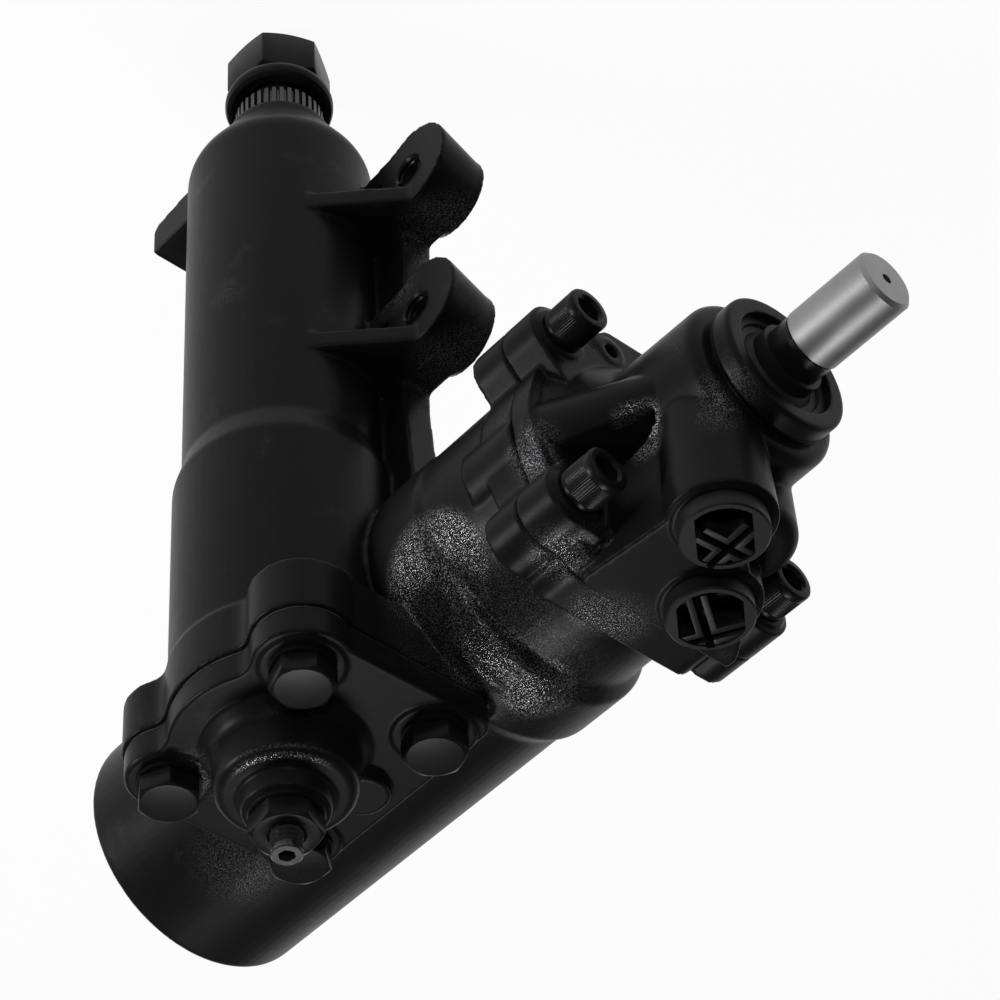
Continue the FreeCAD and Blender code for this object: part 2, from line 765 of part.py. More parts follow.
def lock_washer():
    low = spline_end_z - lock_washer_height
    inner = stud_radius + 0.4
    ring = turned_about_sector([
        (inner, low, 0), (lock_washer_radius, low, lock_washer_round),
        (lock_washer_radius, spline_end_z, lock_washer_round), (inner, spline_end_z, 0)])
    return ring.cut(slit_wedge(low))


def slit_wedge(low):
    # The narrow cut that makes the ring a spring washer, on the side away from the ears
    face = rounded_face([(-0.9, -30, 0), (0.9, -30, 0), (0.9, 0, 0), (-0.9, 0, 0)], lambda u, v: V(u, v, low))
    wedge = face.extrude(V(0, 0, lock_washer_height))
    wedge.rotate(V(0, 0, 0), V(0, 0, 1), 250)
    return wedge


def ball_helix(turns, x_from, radius):
    # A right-handed helix about the worm axis that starts at x_from on the +Y side
    helix = Part.makeHelix(ball_lead, ball_lead * turns, radius)
    helix.rotate(V(0, 0, 0), V(0, 1, 0), 90)
    helix.rotate(V(0, 0, 0), V(1, 0, 0), 90 + 360 * x_from / ball_lead)
    helix.translate(V(x_from, worm_axis_y, 0))
    return helix


def track(turns, x_from):
    path = ball_helix(turns, x_from, ball_circle_radius)
    start = path.Edges[0]
    first = start.FirstParameter
    circle = Part.makeCircle(ball_radius + track_gap, start.valueAt(first), start.tangentAt(first))
    return Part.Wire(path.Edges).makePipeShell([Part.Wire([circle])], True, True)


def ball_places():
    length = ball_turns * math.hypot(2 * math.pi * ball_circle_radius, ball_lead)
    count = int(length / (2 * ball_radius + 0.12))
    first_x = ball_centre_x - ball_turns * ball_lead / 2
    path = ball_helix(ball_turns, first_x, ball_circle_radius)
    edge = path.Edges[0]
    places = []
    for number in range(count):
        share = (number + 0.5) / count
        x = first_x + share * ball_turns * ball_lead
        angle = 2 * math.pi * x / ball_lead
        places.append((x, angle))
    return places, edge


def recirculating_balls():
    places, edge = ball_places()
    start = edge.valueAt(edge.FirstParameter)
    turn_start = math.atan2(start.z, start.y - worm_axis_y)
    first_x = start.x
    balls = []
    for x, angle in places:
        swing = turn_start + 2 * math.pi * (x - first_x) / ball_lead
        dy, dz = turned_point(swing, ball_circle_radius)
        balls.append(Part.makeSphere(ball_radius, V(x, worm_axis_y + dy, dz)))
    return Part.makeCompound(balls)


def rack_piston():
    half = piston_length / 2
    outer = cylinder_bore_radius - running_gap
    blank = turned_about_worm([
        (-half, 0, 0), (-half, outer, 1.5), (half, outer, 1.5), (half, 0, 0)])
    # Flat that carries the rack, then one tooth space per sector tooth
    tip_y = -(pitch_radius - addendum)
    root_y = -(pitch_radius + dedendum)
    slope = math.tan(math.radians(pressure_angle))
    space = (tooth_pitch / 2 + tooth_backlash) / 2
    tip_half = space + addendum * slope
    root_half = space - dedendum * slope
    rack_half = sector_gap_count * tooth_pitch + tip_half + rack_land
    cuts = [plate_z([
        (-rack_half, tip_y, 0), (rack_half, tip_y, 0), (rack_half + 3, 0, 0), (-rack_half - 3, 0, 0)], -40, 40)]
    for tooth in range(-sector_gap_count, sector_gap_count + 1):
        middle = tooth * tooth_pitch
        cuts.append(plate_z([
            (middle - root_half, root_y, 0), (middle + root_half, root_y, 0),
            (middle + tip_half + slope, tip_y + 1, 0), (middle - tip_half - slope, tip_y + 1, 0)], -40, 40))
    cuts.append(rod_x(nut_bore_radius, -half + piston_floor, half))
    cuts.append(track(ball_turns, ball_centre_x - ball_turns * ball_lead / 2))
    groove_x = -half + 6
    cuts.append(ring_x(outer + 1, outer - piston_ring_depth, groove_x, groove_x + piston_ring_width))
    body = blank
    for tool in cuts:
        body = body.cut(tool)
    return body


def piston_ring():
    outer = cylinder_bore_radius - 0.02
    groove_x = -piston_length / 2 + 6
    inner = cylinder_bore_radius - running_gap - piston_ring_depth
    return ring_x(outer, inner + 0.1, groove_x + 0.1, groove_x + piston_ring_width - 0.1)


def worm_shaft():
    # The groove is long enough for the balls over the piston's whole travel
    track_turns = ball_turns + 2 * (piston_travel + worm_end_room) / ball_lead
    shaft = turned_about_worm([
        (worm_left_x, 0, 0), (worm_left_x, worm_radius, 1.5), (worm_head_x - 8, worm_radius, 2),
        (worm_head_x, worm_flange_radius, 0), (worm_head_x + worm_flange_width, worm_flange_radius, 0),
        (worm_head_x + worm_flange_width, worm_journal_radius, 0), (parting_x + 1, worm_journal_radius, 0),
        (parting_x + 1, sleeve_radius - 0.6, 0), (worm_cup_end_x, sleeve_radius - 0.6, 0), (worm_cup_end_x, 0, 0)])
    bore = rod_x(torsion_head_radius + seat_gap, worm_head_x, worm_cup_end_x)
    body = shaft.cut(bore)
    return body.cut(track(track_turns, ball_centre_x - track_turns * ball_lead / 2))


def worm_bearing():
    left = bearing_left_x()
    right = left + bearing_width
    outer = bearing_outer_radius - seat_gap
    inner = worm_journal_radius + running_gap
    ball_circle = (outer + inner) / 2
    raceway = Part.makeTorus(ball_circle, bearing_ball_radius + 0.03, V((left + right) / 2, worm_axis_y, 0), V(1, 0, 0))
    outer_race = ring_x(outer, outer - race_thickness, left, right).cut(raceway)
    inner_race = ring_x(inner + race_thickness, inner, left, right).cut(raceway)
    balls = []
    for number in range(bearing_ball_count):
        dy, dz = turned_point(2 * math.pi * number / bearing_ball_count, ball_circle)
        balls.append(Part.makeSphere(bearing_ball_radius, V((left + right) / 2, worm_axis_y + dy, dz)))
    return Part.makeCompound([outer_race, inner_race] + balls)


def bearing_left_x():
    return worm_head_x + worm_flange_width + 0.4


def bearing_retainer():
    # Threaded ring that clamps the bearing into the pilot of the valve housing
    right = bearing_left_x() - 0.05
    return ring_x(bearing_outer_radius - seat_gap, worm_flange_radius + 0.5, right - retainer_width, right)


def valve_sleeve():
    left = worm_cup_end_x + 0.02
    body = ring_x(sleeve_radius - running_gap, spool_radius + running_gap, left, sleeve_end_x)
    for x in sleeve_grooves():
        body = body.cut(ring_x(sleeve_radius + 1, sleeve_radius - sleeve_groove_depth, x, x + sleeve_groove_width))
    for x in sleeve_ring_grooves():
        body = body.cut(ring_x(sleeve_radius + 1, sleeve_radius - sleeve_ring_depth, x, x + sleeve_ring_width))
    return body


def sleeve_grooves():
    spacing = (sleeve_end_x - worm_cup_end_x) / 3
    return [worm_cup_end_x + spacing * (number + 0.5) - sleeve_groove_width / 2 for number in range(3)]


def sleeve_ring_grooves():
    spacing = (sleeve_end_x - worm_cup_end_x) / 3
    places = [worm_cup_end_x + 1.5, sleeve_end_x - 1.5 - sleeve_ring_width]
    return places + [worm_cup_end_x + spacing * number - sleeve_ring_width / 2 for number in (1, 2)]


def sleeve_seal_rings():
    rings = []
    for x in sleeve_ring_grooves():
        rings.append(ring_x(sleeve_radius - 0.02, sleeve_radius - sleeve_ring_depth + 0.1, x + 0.1, x + sleeve_ring_width - 0.1))
    return Part.makeCompound(rings)


def input_shaft():
    left = worm_cup_end_x + 0.6
    shaft = turned_about_worm([
        (left, 0, 0), (left, spool_radius, 0), (sleeve_end_x, spool_radius, 0), (sleeve_end_x, input_land_radius, 0),
        (input_land_end_x, input_land_radius, 0), (input_land_end_x, input_relief_radius, 0),
        (input_land_end_x + input_relief_width, input_relief_radius, 0),
        (input_land_end_x + input_relief_width, input_radius, 0),
        (input_end_x - input_chamfer, input_radius, 0), (input_end_x, input_radius - input_chamfer, 0),
        (input_end_x, 0, 0)])
    bore = rod_x(torsion_head_radius + torsion_bore_gap, left, torsion_end_x + 0.5)
    centre = rod_x(input_centre_hole, input_end_x - input_centre_depth, input_end_x)
    body = shaft.cut(bore).cut(centre)
    for number in range(spool_slot_count):
        slot = Part.makeBox(
            18, spool_slot_width, spool_slot_depth + 1,
            V(left + 10, worm_axis_y - spool_slot_width / 2, spool_radius - spool_slot_depth))
        slot.rotate(V(0, worm_axis_y, 0), V(1, 0, 0), 360 * number / spool_slot_count)
        body = body.cut(slot)
    return body


def torsion_bar():
    left = worm_head_x + 1
    waist_left = worm_cup_end_x - 1
    waist_right = torsion_end_x - 16
    return turned_about_worm([
        (left, 0, 0), (left, torsion_head_radius, 0.5), (waist_left, torsion_head_radius, 1.5),
        (waist_left + 4, torsion_bar_radius, 1.5), (waist_right - 4, torsion_bar_radius, 1.5),
        (waist_right, torsion_head_radius, 1.5), (torsion_end_x, torsion_head_radius, 0.5), (torsion_end_x, 0, 0)])


def port_places():
    return {"pressure": (pressure_port_x, pressure_port_y), "return": (return_port_x, return_port_y)}


def valve_housing():
    disc_x = parting_x + valve_disc_thickness
    flange = flange_lobes(parting_x, flange_front_x, disc_x)
    barrel = turned_about_worm([
        (parting_x, 0, 0), (parting_x, flange_disc_radius - 3, 0), (disc_x, flange_disc_radius - 4, 0),
        (disc_x + 13, barrel_radius + 0.5, 9), (barrel_end_x, barrel_radius, barrel_round),
        (barrel_end_x, mouth_groove_radius, 0.5), (mouth_start_x, mouth_groove_radius, 0.5),
        (mouth_start_x, mouth_radius, mouth_round * 0.6), (mouth_end_x, mouth_radius, mouth_round),
        (mouth_end_x, 0, 0)])
    block = plate_z([
        (parting_x + 0.5, port_block_left_y, 3), (pressure_port_x - 6, port_block_left_y - 3.5, 6),
        (pressure_port_x + 6, pressure_port_y, 0), (return_port_x + 10, return_port_y - 8, 6),
        (parting_x + 4, port_block_right_y, 4), (parting_x, port_block_right_y, 0)], 0, port_face_z)
    # The lug beside the block runs on as a ledge to the block's side wall
    lug_y = screw_offset_y
    ledge_y = port_block_left_y - worm_axis_y
    ledge = plate_x([
        (lug_y, screw_offset_z, 0), (lug_y - 1, screw_offset_z + lug_radius - 0.2, 0),
        (ledge_y, lug_ledge_z, 1), (ledge_y, 20, 0)], parting_x, flange_front_x)
    shapes = [flange, barrel, block, passage_ridge(), ledge, port_shoulder()]
    for x, y in port_places().values():
        boss = Part.makeCone(port_boss_radius - port_boss_draft, port_boss_radius, port_face_z, V(x, y, 0), V(0, 0, 1))
        shapes.append(boss)
        shapes.append(rod_z(port_ring_radius, port_face_z - 1, port_face_z + port_ring_height, x, y))
    bleed = rod_x(bleed_boss_radius, parting_x, flange_front_x + 0.6, bleed_y - worm_axis_y, bleed_z)
    pilot = rod_x(cylinder_bore_radius - pilot_gap, parting_x - pilot_length, parting_x)
    shapes += [bleed, pilot]
    for y, z in screw_places():
        shapes.append(rod_x(spot_ring_radius, flange_front_x - 1, flange_front_x + spot_ring_height, y, z))
    body = fused_in_turn(shapes)

    seat = flange_front_x + spot_ring_height
    cuts = [
        casting_pocket(),
        rod_x(bearing_outer_radius, parting_x - pilot_length, bearing_left_x() + bearing_width),
        rod_x(sleeve_radius, parting_x, sleeve_end_x + 1),
        rod_x(needle_seat_radius, sleeve_end_x, mouth_end_x),
        rod_x(input_seal_radius, mouth_bore_floor_x - input_seal_width, mouth_end_x),
        rod_x(mouth_bore_radius, mouth_bore_floor_x, mouth_end_x),
        rod_x(bleed_hole_radius, flange_front_x - 6, flange_front_x + 0.6, bleed_y - worm_axis_y, bleed_z)]
    for x, y in port_places().values():
        cuts.append(rod_z(port_thread_radius, port_face_z - 16, port_face_z + port_ring_height, x, y))
        cuts.append(rod_z(port_gallery_radius, 8, port_face_z - 16, x, y))
    for y, z in screw_places():
        cuts.append(rod_x(screw_radius + screw_hole_gap, parting_x, seat, y, z))
        cuts.append(rod_x(screw_head_radius + screw_head_gap, seat, seat + screw_head_height + screw_head_radius, y, z))
    for tool in cuts:
        body = body.cut(tool)
    return body


def port_shoulder():
    # Round-topped swelling between the two port bosses on the side away from the flange
    top = shoulder_top_z
    face = rounded_face(
        [(0, 0, 0), (shoulder_column_radius, 0, 0), (shoulder_column_radius, top, 5), (0, top, 0)],
        lambda u, v: V(shoulder_x + u, shoulder_y, v))
    return face.revolve(V(shoulder_x, shoulder_y, 0), V(0, 0, 1), 360)


def passage_ridge():
    # The oil passage runs on as a tapering ridge that sinks into the barrel
    start = V(parting_x, passage_y, passage_z)
    finish = V(passage_end_x, passage_end_y, passage_z + 1)
    run = finish - start
    return Part.makeCone(passage_radius, passage_end_radius, run.Length, start, run)


def casting_pocket():
    # Deep recess between the ridge, the barrel and the port block
    start = parting_x + valve_disc_thickness + 1
    corners = [(start, 12, 0), (137, 10.3, 1), (135.4, 13.5, 1), (130.5, 16, 2), (124, 18.5, 2), (start, 20, 0)]
    return plate_y(corners, pocket_depth_y, 0)


def valve_housing_screws():
    seat = flange_front_x + spot_ring_height
    screws = []
    for y, z in screw_places():
        head = turned_about_worm([
            (seat, 0, 0), (seat, screw_head_radius, 0), (seat + screw_head_height, screw_head_radius, 0.8),
            (seat + screw_head_height, 0, 0)])
        head.translate(V(0, y, z))
        shank = rod_x(screw_radius, parting_x - screw_thread_depth, seat, y, z)
        corners = []
        for side in range(6):
            dy, dz = turned_point(side * math.pi / 3 + 0.4, screw_socket_radius)
            corners.append((y + dy, z + dz, 0))
        socket = plate_x(corners, seat + screw_head_height - screw_socket_depth, seat + screw_head_height)
        screws.append(head.fuse(shank).removeSplitter().cut(socket))
    return Part.makeCompound(screws)


def input_needle_bearing():
    inner = input_land_radius + running_gap
    return ring_x(needle_seat_radius - seat_gap, inner, needle_seat_x, mouth_bore_floor_x - input_seal_width - 0.5)


def input_seal():
    outer = input_seal_radius - seat_gap
    inner = input_land_radius + running_gap
    left = mouth_bore_floor_x - input_seal_width + 0.1
    right = mouth_bore_floor_x - 0.6
    return turned_about_worm([
        (left, outer, 0), (left, outer - 1.5, 0), (right - 1.5, outer - 1.5, 0), (right - 1.5, inner + 1.8, 0),
        (left + 1, inner + 1.2, 0), (left + 1.6, inner, 0), (right, inner + 0.6, 0), (right, outer, 0)])


def seal_snap_ring():
    left = mouth_bore_floor_x + 0.05
    ring = ring_x(mouth_bore_radius - seat_gap, mouth_bore_radius - 2.6, left, left + 1.4)
    gap = Part.makeBox(3, 6, 8, V(left - 1, worm_axis_y - 3, -mouth_bore_radius - 2))
    return ring.cut(gap)


def input_dust_seal():
    # Stepped rubber ring in the mouth, seen round the shaft
    outer = mouth_bore_radius - seat_gap
    left = mouth_bore_floor_x + 1.7
    inner = input_land_radius + running_gap
    return turned_about_worm([
        (left, outer, 0), (left, inner + 1.0, 0), (left + 1, inner, 0), (dust_sleeve_end_x, inner, 0),
        (dust_sleeve_end_x, inner + dust_sleeve_wall, 0), (left + 4.4, inner + dust_sleeve_wall, 0),
        (left + 2.6, inner + 3.4, 0), (left + 2.6, outer - 2.4, 0), (left + 3.6, outer - 2.0, 0), (left + 3.6, outer, 0)])


def port_plug(x, y, crossing):
    # Moulded cap: skirt in the port thread, round head, and a ribbed recess in its face
    seat = port_face_z + port_ring_height
    top = port_face_z + plug_height
    head = rod_z(plug_radius, seat, top, x, y)
    skirt = rod_z(port_thread_radius - 0.1, seat - plug_skirt, seat, x, y)
    recess = rod_z(plug_radius - plug_rim, top - 4, top, x, y)
    hollow = rod_z(port_thread_radius - plug_wall, seat - plug_skirt, seat - 1, x, y)
    body = fused([head, skirt]).cut(recess).cut(hollow)
    ribs = []
    for turn in crossing:
        rib = Part.makeBox(2 * (plug_radius - plug_rim) + 0.4, plug_rib, 3.6, V(-plug_radius + plug_rim - 0.2, -plug_rib / 2, 0))
        rib.rotate(V(0, 0, 0), V(0, 0, 1), turn)
        rib.translate(V(x, y, top - 4))
        ribs.append(rib)
    return fused([body] + ribs)


sector_seal_z = tube_bore_end_z + 0.1
oil_seal_z = sector_seal_z + dust_seal_height + 0.1
spacer_z = oil_seal_z + seal_height + 0.1

nodes = {
    "gear_housing": gear_housing,
    "side_cover": side_cover,
    "side_cover_gasket": cover_gasket,
    "side_cover_bolts": cover_bolts,
    "side_cover_bolt_washers": cover_bolt_washers,
    "sector_shaft": sector_shaft,
    "sector_lower_bearing": lambda: needle_bearing(sector_journal_radius, lower_bearing_z, bearing_length),
    "sector_upper_bearing": lambda: needle_bearing(sector_journal_radius, upper_bearing_z, bearing_length),
    "cover_bearing": lambda: needle_bearing(upper_journal_radius, cover_bearing_z, cover_bearing_length),
    "sector_dust_seal": lambda: sector_seal(sector_seal_z, dust_seal_height),
    "sector_oil_seal": lambda: sector_seal(oil_seal_z, seal_height),
    "sector_seal_spacer": lambda: seal_spacer(spacer_z),
    "adjuster_screw": adjuster_screw,
    "adjuster_lock_nut": adjuster_lock_nut,
    "output_nut": output_nut,
    "output_lock_washer": lock_washer,
    "rack_piston": rack_piston,
    "piston_ring": piston_ring,
    "recirculating_balls": recirculating_balls,
    "worm_shaft": worm_shaft,
    "worm_bearing": worm_bearing,
    "worm_bearing_retainer": bearing_retainer,
    "valve_housing": valve_housing,
    "valve_housing_o_ring": valve_o_ring,
    "valve_housing_screws": valve_housing_screws,
    "valve_sleeve": valve_sleeve,
    "sleeve_seal_rings": sleeve_seal_rings,
    "input_shaft": input_shaft,
    "torsion_bar": torsion_bar,
    "input_needle_bearing": input_needle_bearing,
    "input_seal": input_seal,
    "seal_snap_ring": seal_snap_ring,
    "input_dust_seal": input_dust_seal,
    "pressure_port_plug": lambda: port_plug(pressure_port_x, pressure_port_y, (10, 100)),
    "return_port_plug": lambda: port_plug(return_port_x, return_port_y, (-35, 55)),
}

os.makedirs("parts", exist_ok=True)
for name, make in nodes.items():
    shape = make()
    shape.exportStep("parts/" + name + ".step")
    print(name, "solids", len(shape.Solids), "valid", shape.isValid(), "volume", round(shape.Volume, 1))
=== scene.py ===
import math
import bpy
from mathutils import Matrix, Vector


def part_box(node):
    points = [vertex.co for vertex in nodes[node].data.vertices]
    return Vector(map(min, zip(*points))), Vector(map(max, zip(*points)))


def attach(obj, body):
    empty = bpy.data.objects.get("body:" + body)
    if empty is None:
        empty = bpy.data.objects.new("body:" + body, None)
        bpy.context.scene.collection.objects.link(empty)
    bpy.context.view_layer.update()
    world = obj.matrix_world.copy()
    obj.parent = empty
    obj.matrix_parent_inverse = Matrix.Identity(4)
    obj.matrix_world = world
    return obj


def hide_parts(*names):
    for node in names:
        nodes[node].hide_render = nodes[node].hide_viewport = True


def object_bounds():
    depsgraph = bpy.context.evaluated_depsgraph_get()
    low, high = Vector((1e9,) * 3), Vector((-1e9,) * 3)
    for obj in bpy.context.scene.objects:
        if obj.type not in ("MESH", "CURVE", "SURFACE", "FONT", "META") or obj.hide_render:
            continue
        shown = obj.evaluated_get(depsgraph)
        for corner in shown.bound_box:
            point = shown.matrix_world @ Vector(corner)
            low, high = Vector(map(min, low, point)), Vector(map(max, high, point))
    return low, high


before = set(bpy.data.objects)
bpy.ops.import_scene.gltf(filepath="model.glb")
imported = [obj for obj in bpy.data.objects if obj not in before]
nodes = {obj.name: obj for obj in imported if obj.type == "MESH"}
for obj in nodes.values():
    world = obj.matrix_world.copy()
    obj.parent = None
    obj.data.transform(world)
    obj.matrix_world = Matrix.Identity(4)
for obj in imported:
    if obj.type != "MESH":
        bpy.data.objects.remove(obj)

mm = 0.001
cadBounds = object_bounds()

# the photograph's view: to the right, up and towards the camera
viewRight = Vector((0.65347, -0.75482, 0.05685))
viewUp = Vector((0.56124, 0.43275, -0.70550))
viewToward = Vector((0.50792, 0.49293, 0.70642))

viewCamera = {"place": (0.52571, 0.4176, 0.62604), "lens": 111.08, "sensor": 36.0}


def addCamera(s):
    bpy.ops.object.camera_add(location=s["place"])
    cam = bpy.context.object
    cam.rotation_euler = Matrix((viewRight, viewUp, viewToward)).transposed().to_euler()
    cam.data.lens = s["lens"]
    cam.data.sensor_width = s["sensor"]
    bpy.context.scene.camera = cam
    print("camera lens:", s["lens"])


# each soft lamp: its way from the part (right, up, towards the camera), distance, width and height, watts
lampSetup = {
    "left": {"way": (-0.95, -0.08, 0.32), "away": 1.0, "size": (0.20, 0.28), "power": 6.0},
    "over": {"way": (-0.05, -0.95, 0.28), "away": 1.0, "size": (0.32, 0.16), "power": 4.5},
    "front": {"way": (0.10, 0.30, 1.00), "away": 1.2, "size": (0.14, 0.14), "power": 2.2},
}
aimPoint = Vector((0.02, -0.02, -0.06))
worldLevel = 0.10


def addLamps():
    for name, s in lampSetup.items():
        side, up, toward = s["way"]
        way = (viewRight * side + viewUp * up + viewToward * toward).normalized()
        bpy.ops.object.light_add(type="AREA", location=aimPoint + way * s["away"])
        lamp = bpy.context.object
        lamp.name = "lamp" + name.capitalize()
        lamp.rotation_euler = way.to_track_quat("Z", "Y").to_euler()
        lamp.data.shape = "RECTANGLE"
        lamp.data.size, lamp.data.size_y = s["size"]
        lamp.data.energy = s["power"]
    world = bpy.data.worlds.new("studio")
    bpy.context.scene.world = world
    world.use_nodes = True
    back = world.node_tree.nodes["Background"]
    back.inputs["Color"].default_value = (1.0, 1.0, 1.0, 1.0)
    back.inputs["Strength"].default_value = worldLevel
    bpy.context.scene.view_settings.view_transform = "Standard"
    print("lamps:", len(lampSetup))


# a shader socket that takes + - and *, also with a number in front
class Wire:
    def __init__(self, mat, socket):
        self.mat = mat
        self.socket = socket

    def maths(self, kind, a, b):
        return self.mat.node("ShaderNodeMath", {"operation": kind}, {0: a, 1: b})

    def __add__(self, other):
        return self.maths("ADD", self, other)

    def __radd__(self, other):
        return self.maths("ADD", other, self)

    def __sub__(self, other):
        return self.maths("SUBTRACT", self, other)

    def __rsub__(self, other):
        return self.maths("SUBTRACT", other, self)

    def __mul__(self, other):
        return self.maths("MULTIPLY", self, other)

    def __rmul__(self, other):
        return self.maths("MULTIPLY", other, self)


class Finish:
    def __init__(self, name):
        self.material = bpy.data.materials.new(name)
        self.material.use_nodes = True
        self.tree = self.material.node_tree
        self.surface = self.tree.nodes["Principled BSDF"]
        self.point = self.node("ShaderNodeTexCoord", out="Object")

    def node(self, kind, settings=None, values=None, out=0):
        made = self.tree.nodes.new(kind)
        for key, value in (settings or {}).items():
            if key == "stops":
                ramp = made.color_ramp
                while len(ramp.elements) < len(value):
                    ramp.elements.new(0.5)
                for stop, (place, level) in zip(ramp.elements, value):
                    stop.position = place
                    stop.color = (level, level, level, 1.0)
            else:
                setattr(made, key, value)
        for key, value in (values or {}).items():
            self.feed(made.inputs[key], value)
        return Wire(self, made.outputs[out])

    def feed(self, socket, value):
        if isinstance(value, Wire):
            self.tree.links.new(value.socket, socket)
        elif isinstance(value, tuple) and len(value) == 3 and socket.type == "RGBA":
            socket.default_value = (*value, 1.0)
        else:
            socket.default_value = value

    def noise(self, scale, detail=2.0, point=None):
        return self.node("ShaderNodeTexNoise", None,
                         {"Vector": point or self.point, "Scale": scale, "Detail": detail})

    def streaks(self, scales, detail=2.0):
        # noise drawn out along an axis: the scale along X, Y and Z
        drawn = self.node("ShaderNodeMapping", None, {"Vector": self.point, "Scale": scales})
        return self.noise(1.0, detail, drawn)

    def ramp(self, value, *stops):
        return self.node("ShaderNodeValToRGB", {"stops": stops}, {"Fac": value})

    def part(self, axis):
        return self.node("ShaderNodeSeparateXYZ", None, {"Vector": self.point}, out=axis)

    def root(self, value):
        return self.node("ShaderNodeMath", {"operation": "SQRT"}, {0: value})

    def vector(self, kind, values, out="Vector"):
        return self.node("ShaderNodeVectorMath", {"operation": kind}, values, out=out)

    def fade(self, away, inner, outer):
        # 1 within the inner distance, 0 beyond the outer one
        limits = {"Value": away, "From Min": inner, "From Max": outer, "To Min": 1.0, "To Max": 0.0}
        return self.node("ShaderNodeMapRange", {"interpolation_type": "SMOOTHSTEP"}, limits)

    def nearTo(self, place, inner, outer):
        return self.fade(self.vector("DISTANCE", {0: self.point, 1: place}, "Value"), inner, outer)

    def nearLine(self, start, end, inner, outer):
        # near a straight line between two places
        along = Vector(end) - Vector(start)
        fromStart = self.vector("SUBTRACT", {0: self.point, 1: start})
        share = self.vector("DOT_PRODUCT", {0: fromStart, 1: tuple(along / along.length_squared)}, "Value")
        share = self.node("ShaderNodeClamp", None, {"Value": share})
        step = self.vector("SCALE", {0: tuple(along), "Scale": share})
        return self.fade(self.vector("DISTANCE", {0: fromStart, 1: step}, "Value"), inner, outer)

    def nearRing(self, radius, height, inner, outer):
        # near a level ring about the sector axis
        x, y, z = self.part("X"), self.part("Y"), self.part("Z")
        across = self.root(x * x + y * y) - radius
        above = z - height
        return self.fade(self.root(across * across + above * above), inner, outer)

    def mixColour(self, factor, a, b):
        return self.node("ShaderNodeMix", {"data_type": "RGBA"}, {"Factor": factor, 6: a, 7: b}, out=2)

    def bump(self, height, distance):
        return self.node("ShaderNodeBump", None, {"Height": height, "Distance": distance, "Strength": 1.0})

    def done(self, **values):
        for key, value in values.items():
            self.feed(self.surface.inputs[key.replace("_", " ")], value)
        return self.material


# black enamel: sway, peel, grain and coarseGrain are heights in mm; in its patches it is coarse and carries
# painted glints, specks made lighter in colour and metallic
# the second colour of each enamel is the colour of its painted glint specks, and also of its random cloudy
# tone
enamel = {
    "casting": {
        "name": "castEnamel", "colour": (0.0058, 0.0060, 0.0065), "wornAndGlint": (0.26, 0.26, 0.27),
        "rough": 0.37, "gloss": 0.06, "sway": 0.10, "peel": 0.018, "grain": 0.022, "coarseGrain": 0.26,
        "patchAt": 0.60, "patchLevel": 0.12, "glint": 0.95, "cloud": 0.01},
    "fastener": {
        "name": "fastenerEnamel", "colour": (0.0062, 0.0064, 0.0069), "wornAndGlint": (0.020, 0.020, 0.022),
        "rough": 0.31, "gloss": 0.075, "sway": 0.01, "peel": 0.008, "grain": 0.006, "coarseGrain": 0.010,
        "patchAt": 0.58, "patchLevel": 0.45, "glint": 0.0, "cloud": 0.2},
    "thread": {
        "name": "threadEnamel", "colour": (0.0120, 0.0120, 0.0125), "wornAndGlint": (0.060, 0.060, 0.062),
        "rough": 0.27, "gloss": 0.60, "sway": 0.01, "peel": 0.006, "grain": 0.004, "coarseGrain": 0.006,
        "patchAt": 0.50, "patchLevel": 0.45, "glint": 0.4, "cloud": 0.2},
}
enamelForm = {"swayScale": 42.0, "peelScale": 520.0, "grainScale": 2300.0, "cloudScale": 130.0,
              "patchScale": 58.0, "patchFade": 0.14, "edgeScale": 120.0, "edgeSwing": 1.1, "edgeBase": 0.45,
              "speckFrom": 0.51, "speckTo": 0.58, "paintedGlintShare": 0.8, "peelRough": 0.08, "patchRough": 0.15}
# where the casting is rough from the sand and carries painted glint specks, placed where the light falls: a
# place, the radius that is all rough, where it ends, how rough
roughGlintPlaces = [
    ((0.061, -0.020, 0.030), 0.020, 0.029, 0.20), ((0.058, -0.010, 0.020), 0.015, 0.020, 0.80),
    ((0.055, -0.028, 0.040), 0.007, 0.015, 0.9), ((0.056, -0.048, 0.044), 0.007, 0.014, 0.9),
    ((0.060, -0.045, 0.040), 0.012, 0.026, 0.18), ((0.102, -0.017, 0.038), 0.004, 0.014, 0.9),
    ((0.106, -0.002, 0.014), 0.003, 0.013, 0.6), ((0.093, -0.040, 0.045), 0.004, 0.018, 0.6),
    ((0.130, -0.024, 0.018), 0.002, 0.008, 0.8), ((0.160, -0.024, 0.022), 0.003, 0.014, 0.7),
    ((0.050, -0.030, -0.084), 0.006, 0.020, 0.6), ((0.050, -0.030, -0.150), 0.006, 0.020, 0.6),
    ((-0.061, -0.030, 0.044), 0.005, 0.024, 0.22), ((-0.020, 0.010, 0.048), 0.006, 0.016, 0.4),
    ((0.042, -0.010, -0.118), 0.004, 0.016, 0.5)]
# edges that are rough from the sand and carry painted glint specks where the light catches them: two ends,
# then the same two radii
roughGlintEdges = [((0.102, -0.016, -0.001), (0.136, -0.019, 0.012), 0.0012, 0.0040),
              ((0.136, -0.019, 0.012), (0.133, -0.023, 0.020), 0.0015, 0.0050),
              ((0.106, -0.001, 0.008), (0.111, -0.006, 0.023), 0.0012, 0.0040),
              ((0.099, -0.023, 0.041), (0.112, -0.024, 0.042), 0.0012, 0.0040)]
# the cover's two ring fillets, rough with painted glint specks: radius and height of each, only on the lit
# side near one place
roughGlintRings = {"rings": ((0.0215, 0.0688), (0.0180, 0.0700)), "inner": 0.0006, "outer": 0.0017,
              "near": ((0.0150, 0.0150, 0.0690), 0.009, 0.019)}


